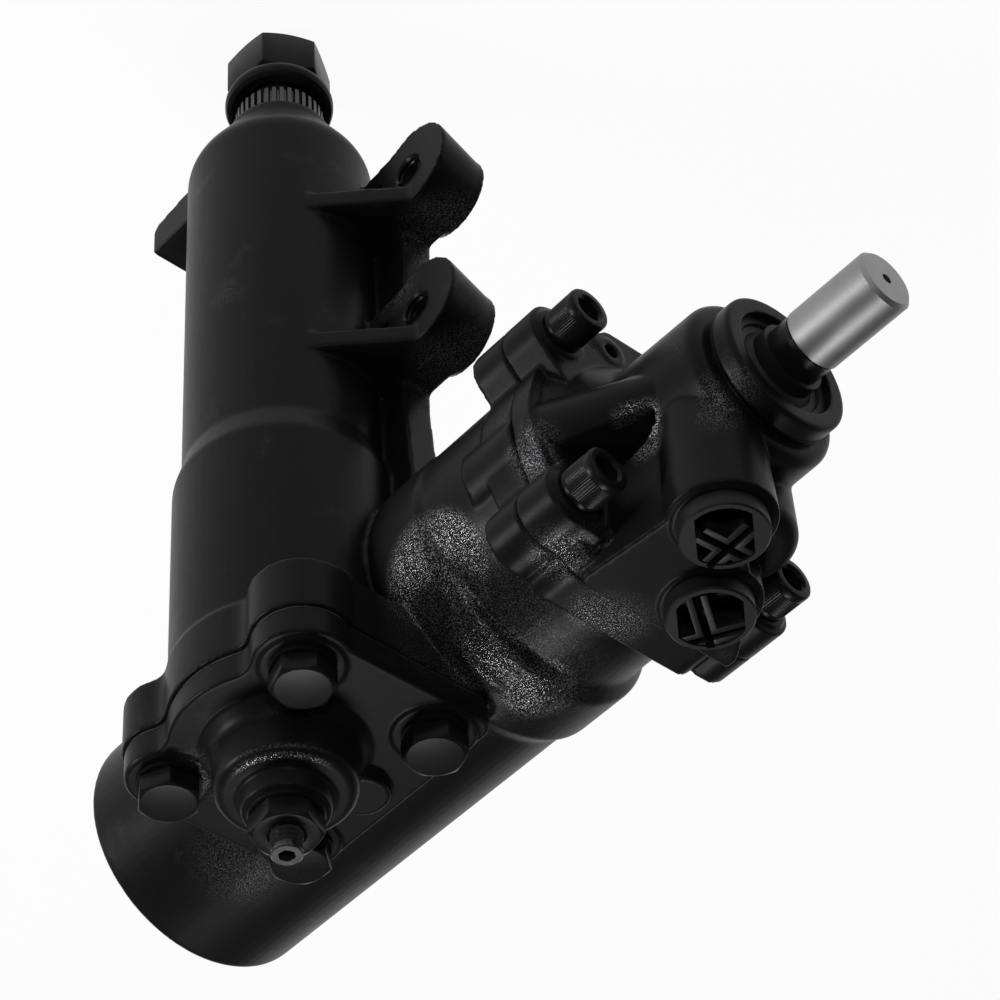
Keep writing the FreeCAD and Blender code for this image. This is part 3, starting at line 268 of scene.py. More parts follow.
def sandMarks(f):
    marks = [f.nearTo(place, inner, outer) * level for place, inner, outer, level in roughGlintPlaces]
    marks += [f.nearLine(*edge) for edge in roughGlintEdges]
    side = f.nearTo(*roughGlintRings["near"])
    for ring in roughGlintRings["rings"]:
        marks.append(f.nearRing(*ring, roughGlintRings["inner"], roughGlintRings["outer"]) * side)
    return marks


def enamelFinish(s, e, sandAndGlint):
    f = Finish(s["name"])
    sway = f.noise(e["swayScale"])
    peel = f.noise(e["peelScale"])
    grain = f.noise(e["grainScale"])
    cloud = f.noise(e["cloudScale"], 3.0)
    patchEdge = (s["patchAt"], 0.0), (s["patchAt"] + e["patchFade"], 1.0)
    patches = f.ramp(f.noise(e["patchScale"], 3.0), *patchEdge) * s["patchLevel"]
    if sandAndGlint:
        ragged = f.noise(e["edgeScale"]) * e["edgeSwing"] + e["edgeBase"]
        for mark in sandMarks(f):
            patches = f.node("ShaderNodeMath", {"operation": "MAXIMUM", "use_clamp": True},
                             {0: patches, 1: mark * ragged})
    height = sway * s["sway"] + peel * s["peel"] + grain * (patches * s["coarseGrain"] + s["grain"])
    # painted glints: the grain's specks in the patches are made lighter in colour and metallic, so they
    # shine as glints
    glintSpecks = f.ramp(grain, (e["speckFrom"], 0.0), (e["speckTo"], 1.0)) * patches
    smoother = patches * (s["rough"] - e["patchRough"])
    return f.done(
        Base_Color=f.mixColour(glintSpecks * e["paintedGlintShare"] + cloud * s["cloud"], s["colour"], s["wornAndGlint"]),
        Metallic=glintSpecks * s["glint"],
        Roughness=peel * e["peelRough"] - smoother + (s["rough"] - e["peelRough"] / 2),
        Specular_IOR_Level=s["gloss"],
        Normal=f.bump(height, mm))


# bright steels inside the housings: the grinding lines lie across the axis with the largest scale
steels = {
    "ground": {"name": "groundSteel", "tint": (0.58, 0.58, 0.585), "rough": 0.26,
               "along": (60.0, 60.0, 5200.0), "lines": 0.012 * mm},
    "groundAlongX": {"name": "groundShaft", "tint": (0.58, 0.58, 0.585), "rough": 0.26,
                     "along": (5200.0, 60.0, 60.0), "lines": 0.012 * mm},
    "plainSteel": {"name": "plainSteel", "tint": (0.40, 0.40, 0.405), "rough": 0.34,
                   "along": (60.0, 60.0, 5200.0), "lines": 0.012 * mm},
    "polished": {"name": "polishedBalls", "tint": (0.75, 0.75, 0.755), "rough": 0.12,
                 "along": (300.0, 300.0, 300.0), "lines": 0.002 * mm},
}
steelForm = {"cloudScale": 90.0, "shade": 0.86, "drawnRough": 0.12, "cloudRough": 0.06, "roughOff": 0.08}


def groundSteel(s, form):
    f = Finish(s["name"])
    drawn = f.streaks(s["along"])
    cloud = f.noise(form["cloudScale"], 3.0)
    return f.done(
        Base_Color=f.mixColour(cloud, tuple(c * form["shade"] for c in s["tint"]), s["tint"]),
        Metallic=1.0,
        Roughness=drawn * form["drawnRough"] + cloud * form["cloudRough"] + (s["rough"] - form["roughOff"]),
        Normal=f.bump(drawn, s["lines"]))


# the input shaft: enamelled up to the end of its land, bare steel beyond it
inputLook = {"name": "inputShaftSteel", "bareFrom": 0.1752, "ragged": 0.0012, "cloudScale": 120.0,
             "enamel": (0.007, 0.007, 0.008), "dull": (0.22, 0.22, 0.223), "bright": (0.30, 0.30, 0.303),
             "turned": (9000.0, 40.0, 40.0), "brushed": (2600.0, 260.0, 260.0),
             "rough": 0.28, "bareRough": 0.10, "brushedRough": 0.14, "cloudRough": 0.05, "gloss": 0.15,
             "turnedShare": 0.6, "brushedShare": 0.4, "lines": 0.022 * mm}


def inputSteel(s):
    f = Finish(s["name"])
    turned = f.streaks(s["turned"])
    brushed = f.streaks(s["brushed"], 3.0)
    cloud = f.noise(s["cloudScale"], 3.0)
    edge = f.part("X") + brushed * s["ragged"]
    bare = f.node("ShaderNodeMath", {"operation": "GREATER_THAN"}, {0: edge, 1: s["bareFrom"]})
    steel = f.mixColour(cloud, s["dull"], s["bright"])
    bareRough = bare * (brushed * s["brushedRough"] + s["bareRough"])
    return f.done(
        Base_Color=f.mixColour(bare, s["enamel"], steel),
        Metallic=bare,
        Roughness=bareRough + cloud * s["cloudRough"] + s["rough"],
        Specular_IOR_Level=s["gloss"],
        Normal=f.bump(turned * s["turnedShare"] + brushed * s["brushedShare"], s["lines"]))


splineLook = {"name": "splinedSteel", "oilScale": 240.0, "scratched": (4200.0, 4200.0, 90.0), "metal": 0.9,
              "dark": (0.035, 0.035, 0.036), "pale": (0.085, 0.085, 0.087),
              "rough": 0.26, "oilRough": 0.2, "lines": 0.02 * mm}


def splinedSteel(s):
    f = Finish(s["name"])
    oily = f.noise(s["oilScale"], 3.0)
    return f.done(
        Base_Color=f.mixColour(oily, s["dark"], s["pale"]),
        Metallic=s["metal"],
        Roughness=oily * s["oilRough"] + s["rough"],
        Normal=f.bump(f.streaks(s["scratched"]), s["lines"]))


plugLook = {"name": "plugPlastic", "grainScale": 1500.0, "flowScale": 85.0, "grainHeight": 0.5,
            "dark": (0.007, 0.007, 0.0075), "pale": (0.012, 0.012, 0.013),
            "rough": 0.34, "grainRough": 0.12, "flowRough": 0.08, "gloss": 0.16, "height": 0.03 * mm}


def plugPlastic(s):
    f = Finish(s["name"])
    grain = f.noise(s["grainScale"], 3.0)
    flow = f.noise(s["flowScale"])
    return f.done(
        Base_Color=f.mixColour(flow, s["dark"], s["pale"]),
        Roughness=grain * s["grainRough"] + flow * s["flowRough"] + s["rough"],
        Specular_IOR_Level=s["gloss"],
        Normal=f.bump(grain * s["grainHeight"] + flow, s["height"]))


rubberLook = {"name": "sealRubber", "grainScale": 2400.0, "dustScale": 150.0, "dusty": 1.8,
              "colour": (0.006, 0.006, 0.006), "rough": 0.46, "dustRough": 0.14, "gloss": 0.20,
              "height": 0.02 * mm}


def sealRubber(s):
    f = Finish(s["name"])
    grain = f.noise(s["grainScale"], 3.0)
    dust = f.noise(s["dustScale"], 3.0)
    return f.done(
        Base_Color=f.mixColour(dust, s["colour"], tuple(c * s["dusty"] for c in s["colour"])),
        Roughness=dust * s["dustRough"] + s["rough"],
        Specular_IOR_Level=s["gloss"],
        Normal=f.bump(grain, s["height"]))


gasketLook = {"name": "gasketSheet", "fibres": (900.0, 900.0, 4200.0), "dark": (0.030, 0.030, 0.031),
              "pale": (0.085, 0.084, 0.082), "rough": 0.62, "fibreRough": 0.12, "height": 0.03 * mm}


def fibreSheet(s):
    f = Finish(s["name"])
    fibre = f.streaks(s["fibres"], 3.0)
    return f.done(
        Base_Color=f.mixColour(fibre, s["dark"], s["pale"]),
        Roughness=fibre * s["fibreRough"] + s["rough"],
        Normal=f.bump(fibre, s["height"]))


ringLook = {"name": "filledRing", "mottleScale": 700.0, "dark": (0.13, 0.085, 0.055),
            "pale": (0.24, 0.17, 0.12), "rough": 0.36, "mottleRough": 0.15, "height": 0.01 * mm}


def filledRing(s):
    f = Finish(s["name"])
    mottle = f.noise(s["mottleScale"], 4.0)
    return f.done(
        Base_Color=f.mixColour(mottle, s["dark"], s["pale"]),
        Roughness=mottle * s["mottleRough"] + s["rough"],
        Normal=f.bump(mottle, s["height"]))


looks = {}


def makeLooks():
    for name, s in enamel.items():
        looks[name] = enamelFinish(s, enamelForm, name == "casting")
    for name, s in steels.items():
        looks[name] = groundSteel(s, steelForm)
    looks["input"] = inputSteel(inputLook)
    looks["spline"] = splinedSteel(splineLook)
    looks["plug"] = plugPlastic(plugLook)
    looks["rubber"] = sealRubber(rubberLook)
    looks["gasket"] = fibreSheet(gasketLook)
    looks["ring"] = filledRing(ringLook)
    print("finishes:", len(looks))


nodeLooks = {
    "casting": ("gear_housing", "valve_housing", "side_cover"),
    "fastener": ("side_cover_bolts", "side_cover_bolt_washers", "adjuster_screw", "adjuster_lock_nut",
                 "output_nut", "output_lock_washer", "valve_housing_screws", "seal_snap_ring"),
    "ground": ("sector_lower_bearing", "sector_upper_bearing", "cover_bearing"),
    "groundAlongX": ("worm_bearing", "input_needle_bearing", "rack_piston", "worm_shaft", "valve_sleeve",
                     "torsion_bar"),
    "plainSteel": ("sector_seal_spacer", "worm_bearing_retainer"),
    "polished": ("recirculating_balls",),
    "input": ("input_shaft",),
    "spline": ("sector_shaft",),
    "plug": ("pressure_port_plug", "return_port_plug"),
    "rubber": ("sector_dust_seal", "sector_oil_seal", "valve_housing_o_ring", "input_seal",
               "input_dust_seal"),
    "gasket": ("side_cover_gasket",),
    "ring": ("piston_ring", "sleeve_seal_rings"),
}


def dressNodes():
    for look, names in nodeLooks.items():
        for name in names:
            obj = nodes[name]
            if not obj.material_slots:
                obj.data.materials.append(looks[look])
            for slot in obj.material_slots:
                slot.material = looks[look]
    print("frame nodes dressed:", sum(len(names) for names in nodeLooks.values()), "of", len(nodes))


floorSetup = {"half": 20.0, "below": 0.5 * mm, "white": (0.93, 0.93, 0.93), "rough": 0.9, "glow": 0.94}


def addFloor(s):
    low = cadBounds[0][2] - s["below"]
    bpy.ops.mesh.primitive_plane_add(size=2 * s["half"], location=(0, 0, low))
    floor = bpy.context.object
    floor.name = "paleFloor"
    f = Finish("paleFloor")
    f.done(Base_Color=s["white"], Roughness=s["rough"], Specular_IOR_Level=0.0)
    camera, glossy, through = (f.node("ShaderNodeLightPath", out="Is " + kind + " Ray")
                               for kind in ("Camera", "Glossy", "Transmission"))
    glow = f.node("ShaderNodeEmission", None, {"Color": (1.0, 1.0, 1.0), "Strength": 1.0})
    mixed = f.node("ShaderNodeMixShader", None,
                   {0: (camera + glossy + through) * s["glow"], 1: Wire(f, f.surface.outputs[0]), 2: glow})
    f.tree.links.new(mixed.socket, f.tree.nodes["Material Output"].inputs["Surface"])
    floor.data.materials.append(f.material)
    print("floor at", round(low, 4))


# how far a cutter runs past what it cuts, and the little that is enough at a slanting face
past = 1 * mm
graze = 0.02 * mm
# steps round a small, a middle and a large turned form
smallRound, middleRound, largeRound = 72, 96, 120
# points closer than this are one: in spun forms, in swept threads, in the frame's loose triangles
weld = {"spun": 0.004 * mm, "swept": 0.001 * mm, "frame": 0.01 * mm}


def clearSelection():
    if bpy.context.object and bpy.context.object.mode != "OBJECT":
        bpy.ops.object.mode_set(mode="OBJECT")
    bpy.ops.object.select_all(action="DESELECT")


def focus(obj):
    clearSelection()
    obj.select_set(True)
    bpy.context.view_layer.objects.active = obj


def applied(obj):
    focus(obj)
    bpy.ops.object.transform_apply(location=True, rotation=True, scale=True)
    return obj


def applyModifier(obj, kind, **settings):
    focus(obj)
    made = obj.modifiers.new(kind.lower(), kind)
    for key, value in settings.items():
        setattr(made, key, value)
    bpy.ops.object.modifier_apply(modifier=made.name)


def finishPiece(obj, name, look, body, smoothAngle, replaced=()):
    applied(obj)
    bpy.ops.object.shade_smooth_by_angle(angle=math.radians(smoothAngle))
    obj.name = name
    obj.data.name = name
    obj.data.materials.clear()
    obj.data.materials.append(looks[look])
    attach(obj, body)
    if replaced:
        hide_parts(*replaced)
    print("piece", name, len(obj.data.polygons))


def cylinderAt(radius, low, high, sides, turn=0.0):
    # solid cylinder along Z between two heights
    clearSelection()
    bpy.ops.mesh.primitive_cylinder_add(
        vertices=sides, radius=radius, depth=high - low, end_fill_type="NGON",
        location=(0, 0, (low + high) / 2), rotation=(0, 0, turn))
    return applied(bpy.context.object)


def pick(obj, test):
    # edit mode with only the vertices that pass the test selected
    focus(obj)
    bpy.ops.object.mode_set(mode="EDIT")
    bpy.ops.mesh.select_mode(type="VERT")
    bpy.ops.mesh.select_all(action="DESELECT")
    bpy.ops.object.mode_set(mode="OBJECT")
    for v in obj.data.vertices:
        v.select = bool(test(v.co))
    bpy.ops.object.mode_set(mode="EDIT")


def editAll(obj):
    focus(obj)
    bpy.ops.object.mode_set(mode="EDIT")
    bpy.ops.mesh.select_all(action="SELECT")


def leaveEdit():
    bpy.ops.object.mode_set(mode="OBJECT")


def joined(first, *others):
    clearSelection()
    for obj in others:
        obj.select_set(True)
    first.select_set(True)
    bpy.context.view_layer.objects.active = first
    bpy.ops.object.join()
    return first


def carve(obj, tool, way="DIFFERENCE"):
    applyModifier(obj, "BOOLEAN", object=tool, operation=way, solver="EXACT")
    bpy.data.objects.remove(tool, do_unlink=True)
    return obj


def softEdges(obj, width, segments, angle=30.0):
    applyModifier(obj, "BEVEL", width=width, segments=segments, limit_method="ANGLE",
                  angle_limit=math.radians(angle), harden_normals=False)
    return obj


def turnedPiece(profile, steps):
    # a closed section of (radius, height) corners, made by extruding one point, then spun round Z
    clearSelection()
    bpy.ops.mesh.primitive_plane_add(size=mm, location=(0, 0, 0))
    obj = bpy.context.object
    bpy.ops.object.mode_set(mode="EDIT")
    bpy.ops.mesh.merge(type="CENTER")
    first = Vector((profile[0][0], 0, profile[0][1]))
    bpy.ops.transform.translate(value=first)
    here = first
    for radius, height in profile[1:]:
        there = Vector((radius, 0, height))
        bpy.ops.mesh.extrude_region_move(TRANSFORM_OT_translate={"value": there - here})
        here = there
    bpy.ops.mesh.select_all(action="SELECT")
    if profile[0][0] > 0:  # a ring: its section is closed by one more edge
        leaveEdit()
        pick(obj, lambda co: min((co - first).length, (co - here).length) < weld["swept"])
        bpy.ops.mesh.edge_face_add()
        bpy.ops.mesh.select_all(action="SELECT")
    bpy.ops.mesh.spin(steps=steps, angle=2 * math.pi, center=(0, 0, 0), axis=(0, 0, 1))
    bpy.ops.mesh.select_all(action="SELECT")
    bpy.ops.mesh.remove_doubles(threshold=weld["spun"])
    bpy.ops.mesh.normals_make_consistent(inside=False)
    leaveEdit()
    return obj


def chamferedHex(flats, low, high, turn, rimShare, chamfers=(True, True)):
    # hexagon whose corners are turned off at 30 degrees, below and above; the rim is a share of the flats
    slope = math.radians(30)
    corner = flats / math.sqrt(3)
    prism = cylinderAt(corner, low, high, 6, turn + slope)
    rim = flats / 2 * rimShare
    drop = (corner - rim) * math.tan(slope)
    section = [(0, low), (rim, low) if chamfers[0] else (corner + past, low)]
    if chamfers[0]:
        section.append((corner + graze, low + drop))
    if chamfers[1]:
        section += [(corner + graze, high - drop), (rim, high)]
    else:
        section.append((corner + past, high))
    section.append((0, high))
    return carve(prism, turnedPiece(section, largeRound), "INTERSECT")


def placed(obj, along, place):
    obj.rotation_euler = {"Z": (0, 0, 0), "X": (0, math.pi / 2, 0), "Y": (-math.pi / 2, 0, 0)}[along]
    obj.location = place
    return obj


def copyOf(obj):
    twin = obj.copy()
    twin.data = obj.data.copy()
    bpy.context.collection.objects.link(twin)
    return twin


def slitTool(width, length, tilt, turn, place):
    # a thin square bar that cuts a spring washer's slanting gap
    tool = cylinderAt(width, 0.0, length, 4)
    tool.rotation_euler = (math.radians(tilt), 0, math.radians(turn))
    tool.location = place
    return applied(tool)


# a thread's ridge starts as a triangle on a circle of 1 mm; the flank is its share of the pitch
ridgeForm = {"circle": 1 * mm, "height": 1.5 * mm, "side": 1.732 * mm, "flank": 0.80}


def threadRidge(wall, depth, pitch, turns, steps, inward=False):
    # one V-shaped ridge swept up a helix; it starts at height zero
    clearSelection()
    bpy.ops.mesh.primitive_circle_add(vertices=3, radius=ridgeForm["circle"], fill_type="NOTHING",
                                      rotation=(0, 0, math.radians(90 if inward else -90)))
    obj = applied(bpy.context.object)
    editAll(obj)
    across, up = depth / ridgeForm["height"], ridgeForm["flank"] * pitch / ridgeForm["side"]
    bpy.ops.transform.resize(value=(across, up, 1))
    leaveEdit()
    obj.rotation_euler = (math.pi / 2, 0, 0)
    obj.location = (wall + (-depth / 3 if inward else depth / 3), 0, 0)
    applied(obj)
    applyModifier(obj, "SCREW", angle=2 * math.pi, screw_offset=pitch, iterations=turns, steps=steps,
                  render_steps=steps, use_merge_vertices=False)
    editAll(obj)
    bpy.ops.mesh.remove_doubles(threshold=weld["swept"])
    bpy.ops.mesh.select_all(action="DESELECT")
    bpy.ops.mesh.select_non_manifold()
    bpy.ops.mesh.fill()
    bpy.ops.mesh.select_all(action="SELECT")
    bpy.ops.mesh.normals_make_consistent(inside=False)
    leaveEdit()
    return obj


# cover bolts: hexagon heads on a round washer face
coverBolts = {"flats": 17.0 * mm, "rimShare": 0.955, "edge": 0.22 * mm, "sunk": 0.7, "face": 0.8 * mm,
              "faceRadius": 8.0 * mm, "faceEdge": 0.15 * mm, "x": 30.8 * mm, "y": 23.8 * mm,
              "middleY": -5.5 * mm, "turns": (15.0, 34.0, 17.5, 50.0)}


def makeCoverBolts(s):
    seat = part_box("side_cover_bolt_washers")[1].z
    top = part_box("side_cover_bolts")[1].z
    number = 0
    for sideY in (1, -1):
        for sideX in (1, -1):
            turn = math.radians(s["turns"][number])
            low = seat + s["face"] * s["sunk"]
            head = chamferedHex(s["flats"], low, top, turn, s["rimShare"], (False, True))
            softEdges(head, s["edge"], 2, 25.0)
            collar = cylinderAt(s["faceRadius"], seat, seat + s["face"], smallRound)
            softEdges(collar, s["faceEdge"], 1)
            bolt = joined(head, collar)
            placed(bolt, "Z", (sideX * s["x"], s["middleY"] + sideY * s["y"], 0))
            number += 1
            finishPiece(bolt, "coverBolt" + str(number), "fastener", "housing", 28.0, ("side_cover_bolts",))


# socket head screws of the valve housing, with knurled heads and spring washers
valveScrews = {"headRadius": 7.1 * mm, "headHeight": 12.2 * mm, "band": 3.4 * mm, "bandEdge": 0.9 * mm,
               "knurls": 64, "knurlRadius": 0.995, "knurlDepth": 0.984, "knurlOverlap": 0.8,
               "socket": 4.0 * mm, "socketCorner": 1.08, "socketDepth": 7.5 * mm, "socketTurn": 0.4,
               "socketEdge": 0.9 * mm, "flare": 0.9 * mm, "flareFoot": 0.98, "flareMouth": 1.2,
               "seatX": 114.3 * mm, "offY": 35.29 * mm, "offZ": 32.68 * mm, "axisY": -47.0 * mm}
screwWasher = {"thick": 2.0 * mm, "boreGap": 0.3 * mm, "inset": 0.1 * mm, "edge": 0.35 * mm,
               "slit": (0.5 * mm, 12 * mm, 78, 0, (0, 10 * mm, -0.6 * mm))}


def knurledHead(s, low):
    top = s["headHeight"]
    knurled = cylinderAt(s["headRadius"] * s["knurlRadius"], low, top - s["band"] * s["knurlOverlap"],
                         s["knurls"] * 2)
    step = math.pi / s["knurls"]
    pick(knurled, lambda co: int(round(math.atan2(co.y, co.x) / step)) % 2 == 0)
    bpy.ops.transform.resize(value=(s["knurlDepth"], s["knurlDepth"], 1))
    leaveEdit()
    cap = cylinderAt(s["headRadius"], top - s["band"], top, middleRound)
    head = carve(knurled, softEdges(cap, s["bandEdge"], 3, 60.0), "UNION")
    corner = s["socket"] * s["socketCorner"]
    socket = cylinderAt(corner, top - s["socketDepth"], top + past, 6, s["socketTurn"])
    head = carve(head, softEdges(socket, s["socketEdge"], 3, 40.0))
    foot, mouth, base = s["socket"] * s["flareFoot"], s["socket"] * s["flareMouth"], top - s["flare"]
    flare = turnedPiece([(0, base), (foot, base), (mouth, top + graze), (0, top + graze)], smallRound)
    return carve(head, flare)


def slitWasher(s, w):
    bore = s["socket"] + w["boreGap"]
    side, edge = s["headRadius"] - w["inset"], s["headRadius"] - w["edge"]
    top = w["thick"] - graze
    ring = turnedPiece([(bore, 0.0), (edge, 0.0), (side, w["edge"]), (side, w["thick"] - w["edge"]),
                        (edge, top), (bore, top)], smallRound)
    return carve(ring, slitTool(*w["slit"]))


def makeValveScrews(s, w):
    screw = joined(knurledHead(s, w["thick"]), slitWasher(s, w))
    number = 1
    for sideY in (1, -1):
        for sideZ in (1, -1):
            twin = copyOf(screw)
            placed(twin, "X", (s["seatX"], s["axisY"] + sideY * s["offY"], sideZ * s["offZ"]))
            finishPiece(twin, "valveScrew" + str(number), "fastener", "housing", 32.0,
                        ("valve_housing_screws",))
            number += 1
    bpy.data.objects.remove(screw, do_unlink=True)


# adjuster screw and its lock nut; the tip's neck, band and edge are measured down from its end
adjuster = {"radius": 4.7 * mm, "pitch": 1.75 * mm, "depth": 0.95 * mm, "ridgeSink": 0.03 * mm,
            "runOut": 0.9, "tipGap": 0.1 * mm, "tipNeck": 1.1 * mm, "tipBand": 0.8 * mm,
            "tipEdge": 0.3 * mm, "socket": 2.7 * mm, "socketDepth": 5 * mm, "socketTurn": 0.3,
            "socketEdge": 0.5 * mm}
lockNut = {"flats": 19.0 * mm, "turn": 6.0, "rimShare": 0.99, "boreGap": 0.1 * mm, "mouth": 5.7 * mm,
           "mouthDepth": 1.1 * mm, "edge": 0.18 * mm}


def makeAdjuster(s):
    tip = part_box("adjuster_screw")[1].z
    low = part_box("adjuster_lock_nut")[0].z
    root = s["radius"] - s["depth"]
    collar = s["radius"] - s["tipGap"]
    core = turnedPiece([(0, low), (root, low), (root, tip - s["tipNeck"]), (collar, tip - s["tipBand"]),
                        (collar, tip - s["tipEdge"]), (collar - s["tipEdge"], tip), (0, tip)], smallRound)
    hole = cylinderAt(s["socket"], tip - s["socketDepth"], tip + past, 6, s["socketTurn"])
    core = carve(core, softEdges(hole, s["socketEdge"], 2, 40.0))
    turns = int((tip - s["tipBand"] - low) / s["pitch"] - s["runOut"])
    ridge = threadRidge(root - s["ridgeSink"], s["depth"], s["pitch"], turns, 40)
    ridge.location = (0, 0, low + 0.5 * s["pitch"])
    screw = joined(core, ridge)
    finishPiece(screw, "adjusterThread", "thread", "housing", 40.0, ("adjuster_screw",))


def makeLockNut(s, hole):
    low, top = (corner.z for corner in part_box("adjuster_lock_nut"))
    nut = chamferedHex(s["flats"], low, top, math.radians(s["turn"]), s["rimShare"])
    bore = turnedPiece([(0, low - past), (hole, low - past), (hole, top - s["mouthDepth"]),
                        (s["mouth"], top + graze), (0, top + graze)], smallRound)
    nut = softEdges(carve(nut, bore), s["edge"], 2, 25.0)
    finishPiece(nut, "adjusterLockNut", "fastener", "housing", 28.0, ("adjuster_lock_nut",))


# port plugs: moulded caps with a well, and corner walls that leave crossed channels; each channel of the
# cross has its turn in degrees and its start and end in mm
portPlugs = {
    "pressure_port_plug": {"name": "pressurePlug", "place": (141.8, -37.1), "half": 7.8, "recessTurn": 47.0,
                           "cross": ((3.0, -8.2, 8.0), (94.0, -7.6, 8.0)), "middle": (-3.0, -4.2),
                           "openTo": 12.2},
    "return_port_plug": {"name": "returnPlug", "place": (116.0, -56.6), "half": 9.2, "recessTurn": 47.0,
                         "cross": ((55.0, -3.6, 15.5), (149.0, -10.4, 7.0)), "middle": (-6.2, -5.0),
                         "openTo": 11.6},
}
plugForm = {"radius": 12.7 * mm, "edge": 0.5 * mm, "skirt": 8.85 * mm, "skirtDepth": 12.0 * mm,
            "seat": 5.2 * mm, "recess": 10.9 * mm, "recessDepth": 8.0 * mm, "wallTop": 0.4 * mm,
            "wallRoot": 0.2 * mm, "wall": 1.8 * mm, "channel": 2.3 * mm, "openEnd": 2.6 * mm,
            "channelDepth": 4.0 * mm, "capEdge": 0.18 * mm, "wallEdge": 0.2 * mm}


def barAt(width, start, end, low, high, turn, middle):
    # a bar at an angle through a point, from one distance along it to another
    turn = math.radians(turn)
    along = Vector((math.cos(turn), math.sin(turn), 0)) * ((start + end) / 2)
    clearSelection()
    bpy.ops.mesh.primitive_cube_add(
        size=1.0, location=(middle[0] + along.x, middle[1] + along.y, (low + high) / 2),
        rotation=(0, 0, turn), scale=(end - start, width, high - low))
    return applied(bpy.context.object)


def sliceSides(obj, half, turn):
    # keeps what lies within a strip of this half width
    across = Vector((-math.sin(math.radians(turn)), math.cos(math.radians(turn)), 0))
    for side in (1, -1):
        editAll(obj)
        bpy.ops.mesh.bisect(plane_co=across * (half * side), plane_no=across * side, use_fill=True,
                            clear_outer=True)
        leaveEdit()
    return obj


def makePlug(node, s, form):
    radius, skirt, edge, well = form["radius"], form["skirt"], form["edge"], form["recessDepth"]
    foot = -form["skirtDepth"]
    section = [(0, foot), (skirt - edge, foot), (skirt, foot + mm), (skirt, -form["seat"]),
               (radius, -form["seat"]), (radius, -edge), (radius - edge, 0), (0, 0)]
    cap = turnedPiece(section, middleRound)
    middle = (s["middle"][0] * mm, s["middle"][1] * mm)
    bars = [(turn, start * mm, end * mm) for turn, start, end in s["cross"]]
    recess = cylinderAt(form["recess"], -well, past, middleRound)
    sliceSides(recess, s["half"] * mm, s["recessTurn"])
    inside = copyOf(recess)
    cap = carve(cap, recess)
    wide = form["channel"] + 2 * form["wall"]
    first, second = (barAt(wide, start - form["wall"], end + form["wall"], -well - form["wallRoot"],
                           -form["wallTop"], turn, middle) for turn, start, end in bars)
    walls = carve(first, second, "UNION")
    for turn, start, end in bars:
        channel = barAt(form["channel"], start - form["openEnd"], end + form["openEnd"], -well + mm,
                        -form["wallTop"] + past, turn, middle)
        walls = carve(walls, channel)
    walls = carve(walls, inside, "INTERSECT")
    opening = cylinderAt(s["openTo"] * mm, -form["channelDepth"], past, middleRound)
    turn, start, end = bars[0]
    mouth = barAt(form["channel"], start, 0, -form["channelDepth"] - past, 2 * past, turn, middle)
    cap = carve(cap, carve(opening, mouth, "INTERSECT"))
    plug = joined(softEdges(cap, form["capEdge"], 2, 50.0), softEdges(walls, form["wallEdge"], 2, 50.0))
    placed(plug, "Z", (s["place"][0] * mm, s["place"][1] * mm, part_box(node)[1].z))
    finishPiece(plug, s["name"], "plug", "housing", 30.0, (node,))


# output nut and the spring washer on it
outputNut = {"flats": 32.3 * mm, "turn": -4.0, "rimShare": 0.90, "bore": 11.0 * mm, "boreEdge": 1.2 * mm,
             "edge": 0.35 * mm}
outputWasher = {"radius": 19.0 * mm, "bore": 13.0 * mm, "round": 2.2 * mm, "roundShare": 0.3,
                "dish": 1.6 * mm, "dishShare": 0.35, "dishIn": 0.6 * mm, "lift": 0.3 * mm, "edge": 0.4 * mm,
                "slit": (0.9 * mm, 30 * mm, -70, 200), "slitBelow": 2 * mm}


def makeOutputNut(s):
    low, high = (corner.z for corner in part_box("output_nut"))
    nut = chamferedHex(s["flats"], low, high, math.radians(s["turn"]), s["rimShare"])
    hole, mouth = s["bore"] + graze, s["bore"] + s["boreEdge"]
    bore = turnedPiece([(0, low - graze), (mouth, low - graze), (hole, low + s["boreEdge"]),
                        (hole, high + past), (0, high + past)], middleRound)
    nut = softEdges(carve(nut, bore), s["edge"], 2, 25.0)
    finishPiece(nut, "outputNut", "fastener", "sector", 28.0, ("output_nut",))


def makeOutputWasher(s):
    low, high = (corner.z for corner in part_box("output_lock_washer"))
    side, rounding, part = s["radius"], s["round"], s["roundShare"] * s["round"]
    section = [(s["bore"], low + s["lift"]), (s["bore"], high - s["dish"]),
               (side - rounding - s["dishIn"], high - s["dish"] * s["dishShare"]),
               (side - rounding, high), (side - part, high - part), (side, high - rounding),
               (side, low + rounding), (side - part, low + part), (side - rounding, low)]
    washer = turnedPiece(section, largeRound)
    washer = carve(washer, slitTool(*s["slit"], (0, 0, low - s["slitBelow"])))
    washer = softEdges(washer, s["edge"], 2, 35.0)
    finishPiece(washer, "outputSpringWasher", "fastener", "sector", 40.0, ("output_lock_washer",))


# threads in the ears' holes; the places are X and Z in mm
earThreads = {"radius": 5.5 * mm, "ridgeSink": 0.25 * mm, "depth": 0.7 * mm, "pitch": 1.75 * mm,
              "front": -12.0 * mm, "face": -33.2 * mm,
              "places": ((52.0, -168.0), (52.0, -100.0), (-48.0, -190.0))}


def makeEarThreads(s):
    for number, (x, z) in enumerate(s["places"]):
        turns = int((s["front"] - s["face"]) / s["pitch"]) - 1
        ridge = threadRidge(s["radius"] + s["ridgeSink"], s["depth"], s["pitch"], turns, 36, inward=True)
        placed(ridge, "Y", (x * mm, s["face"] + 1.5 * s["pitch"], z * mm))
        finishPiece(ridge, "earThread" + str(number + 1), "fastener", "housing", 40.0)


# the castings, softened as sand and enamel leave them: voxel in mm, rounds of smoothing, most triangles
castings = {
    "gear_housing": {"name": "castGearHousing", "voxel": 0.75, "soften": 3, "limit": 190000},
    "valve_housing": {"name": "castValveHousing", "voxel": 0.55, "soften": 4, "limit": 185000},
    "side_cover": {"name": "castSideCover", "voxel": 0.5, "soften": 5, "limit": 150000},
}
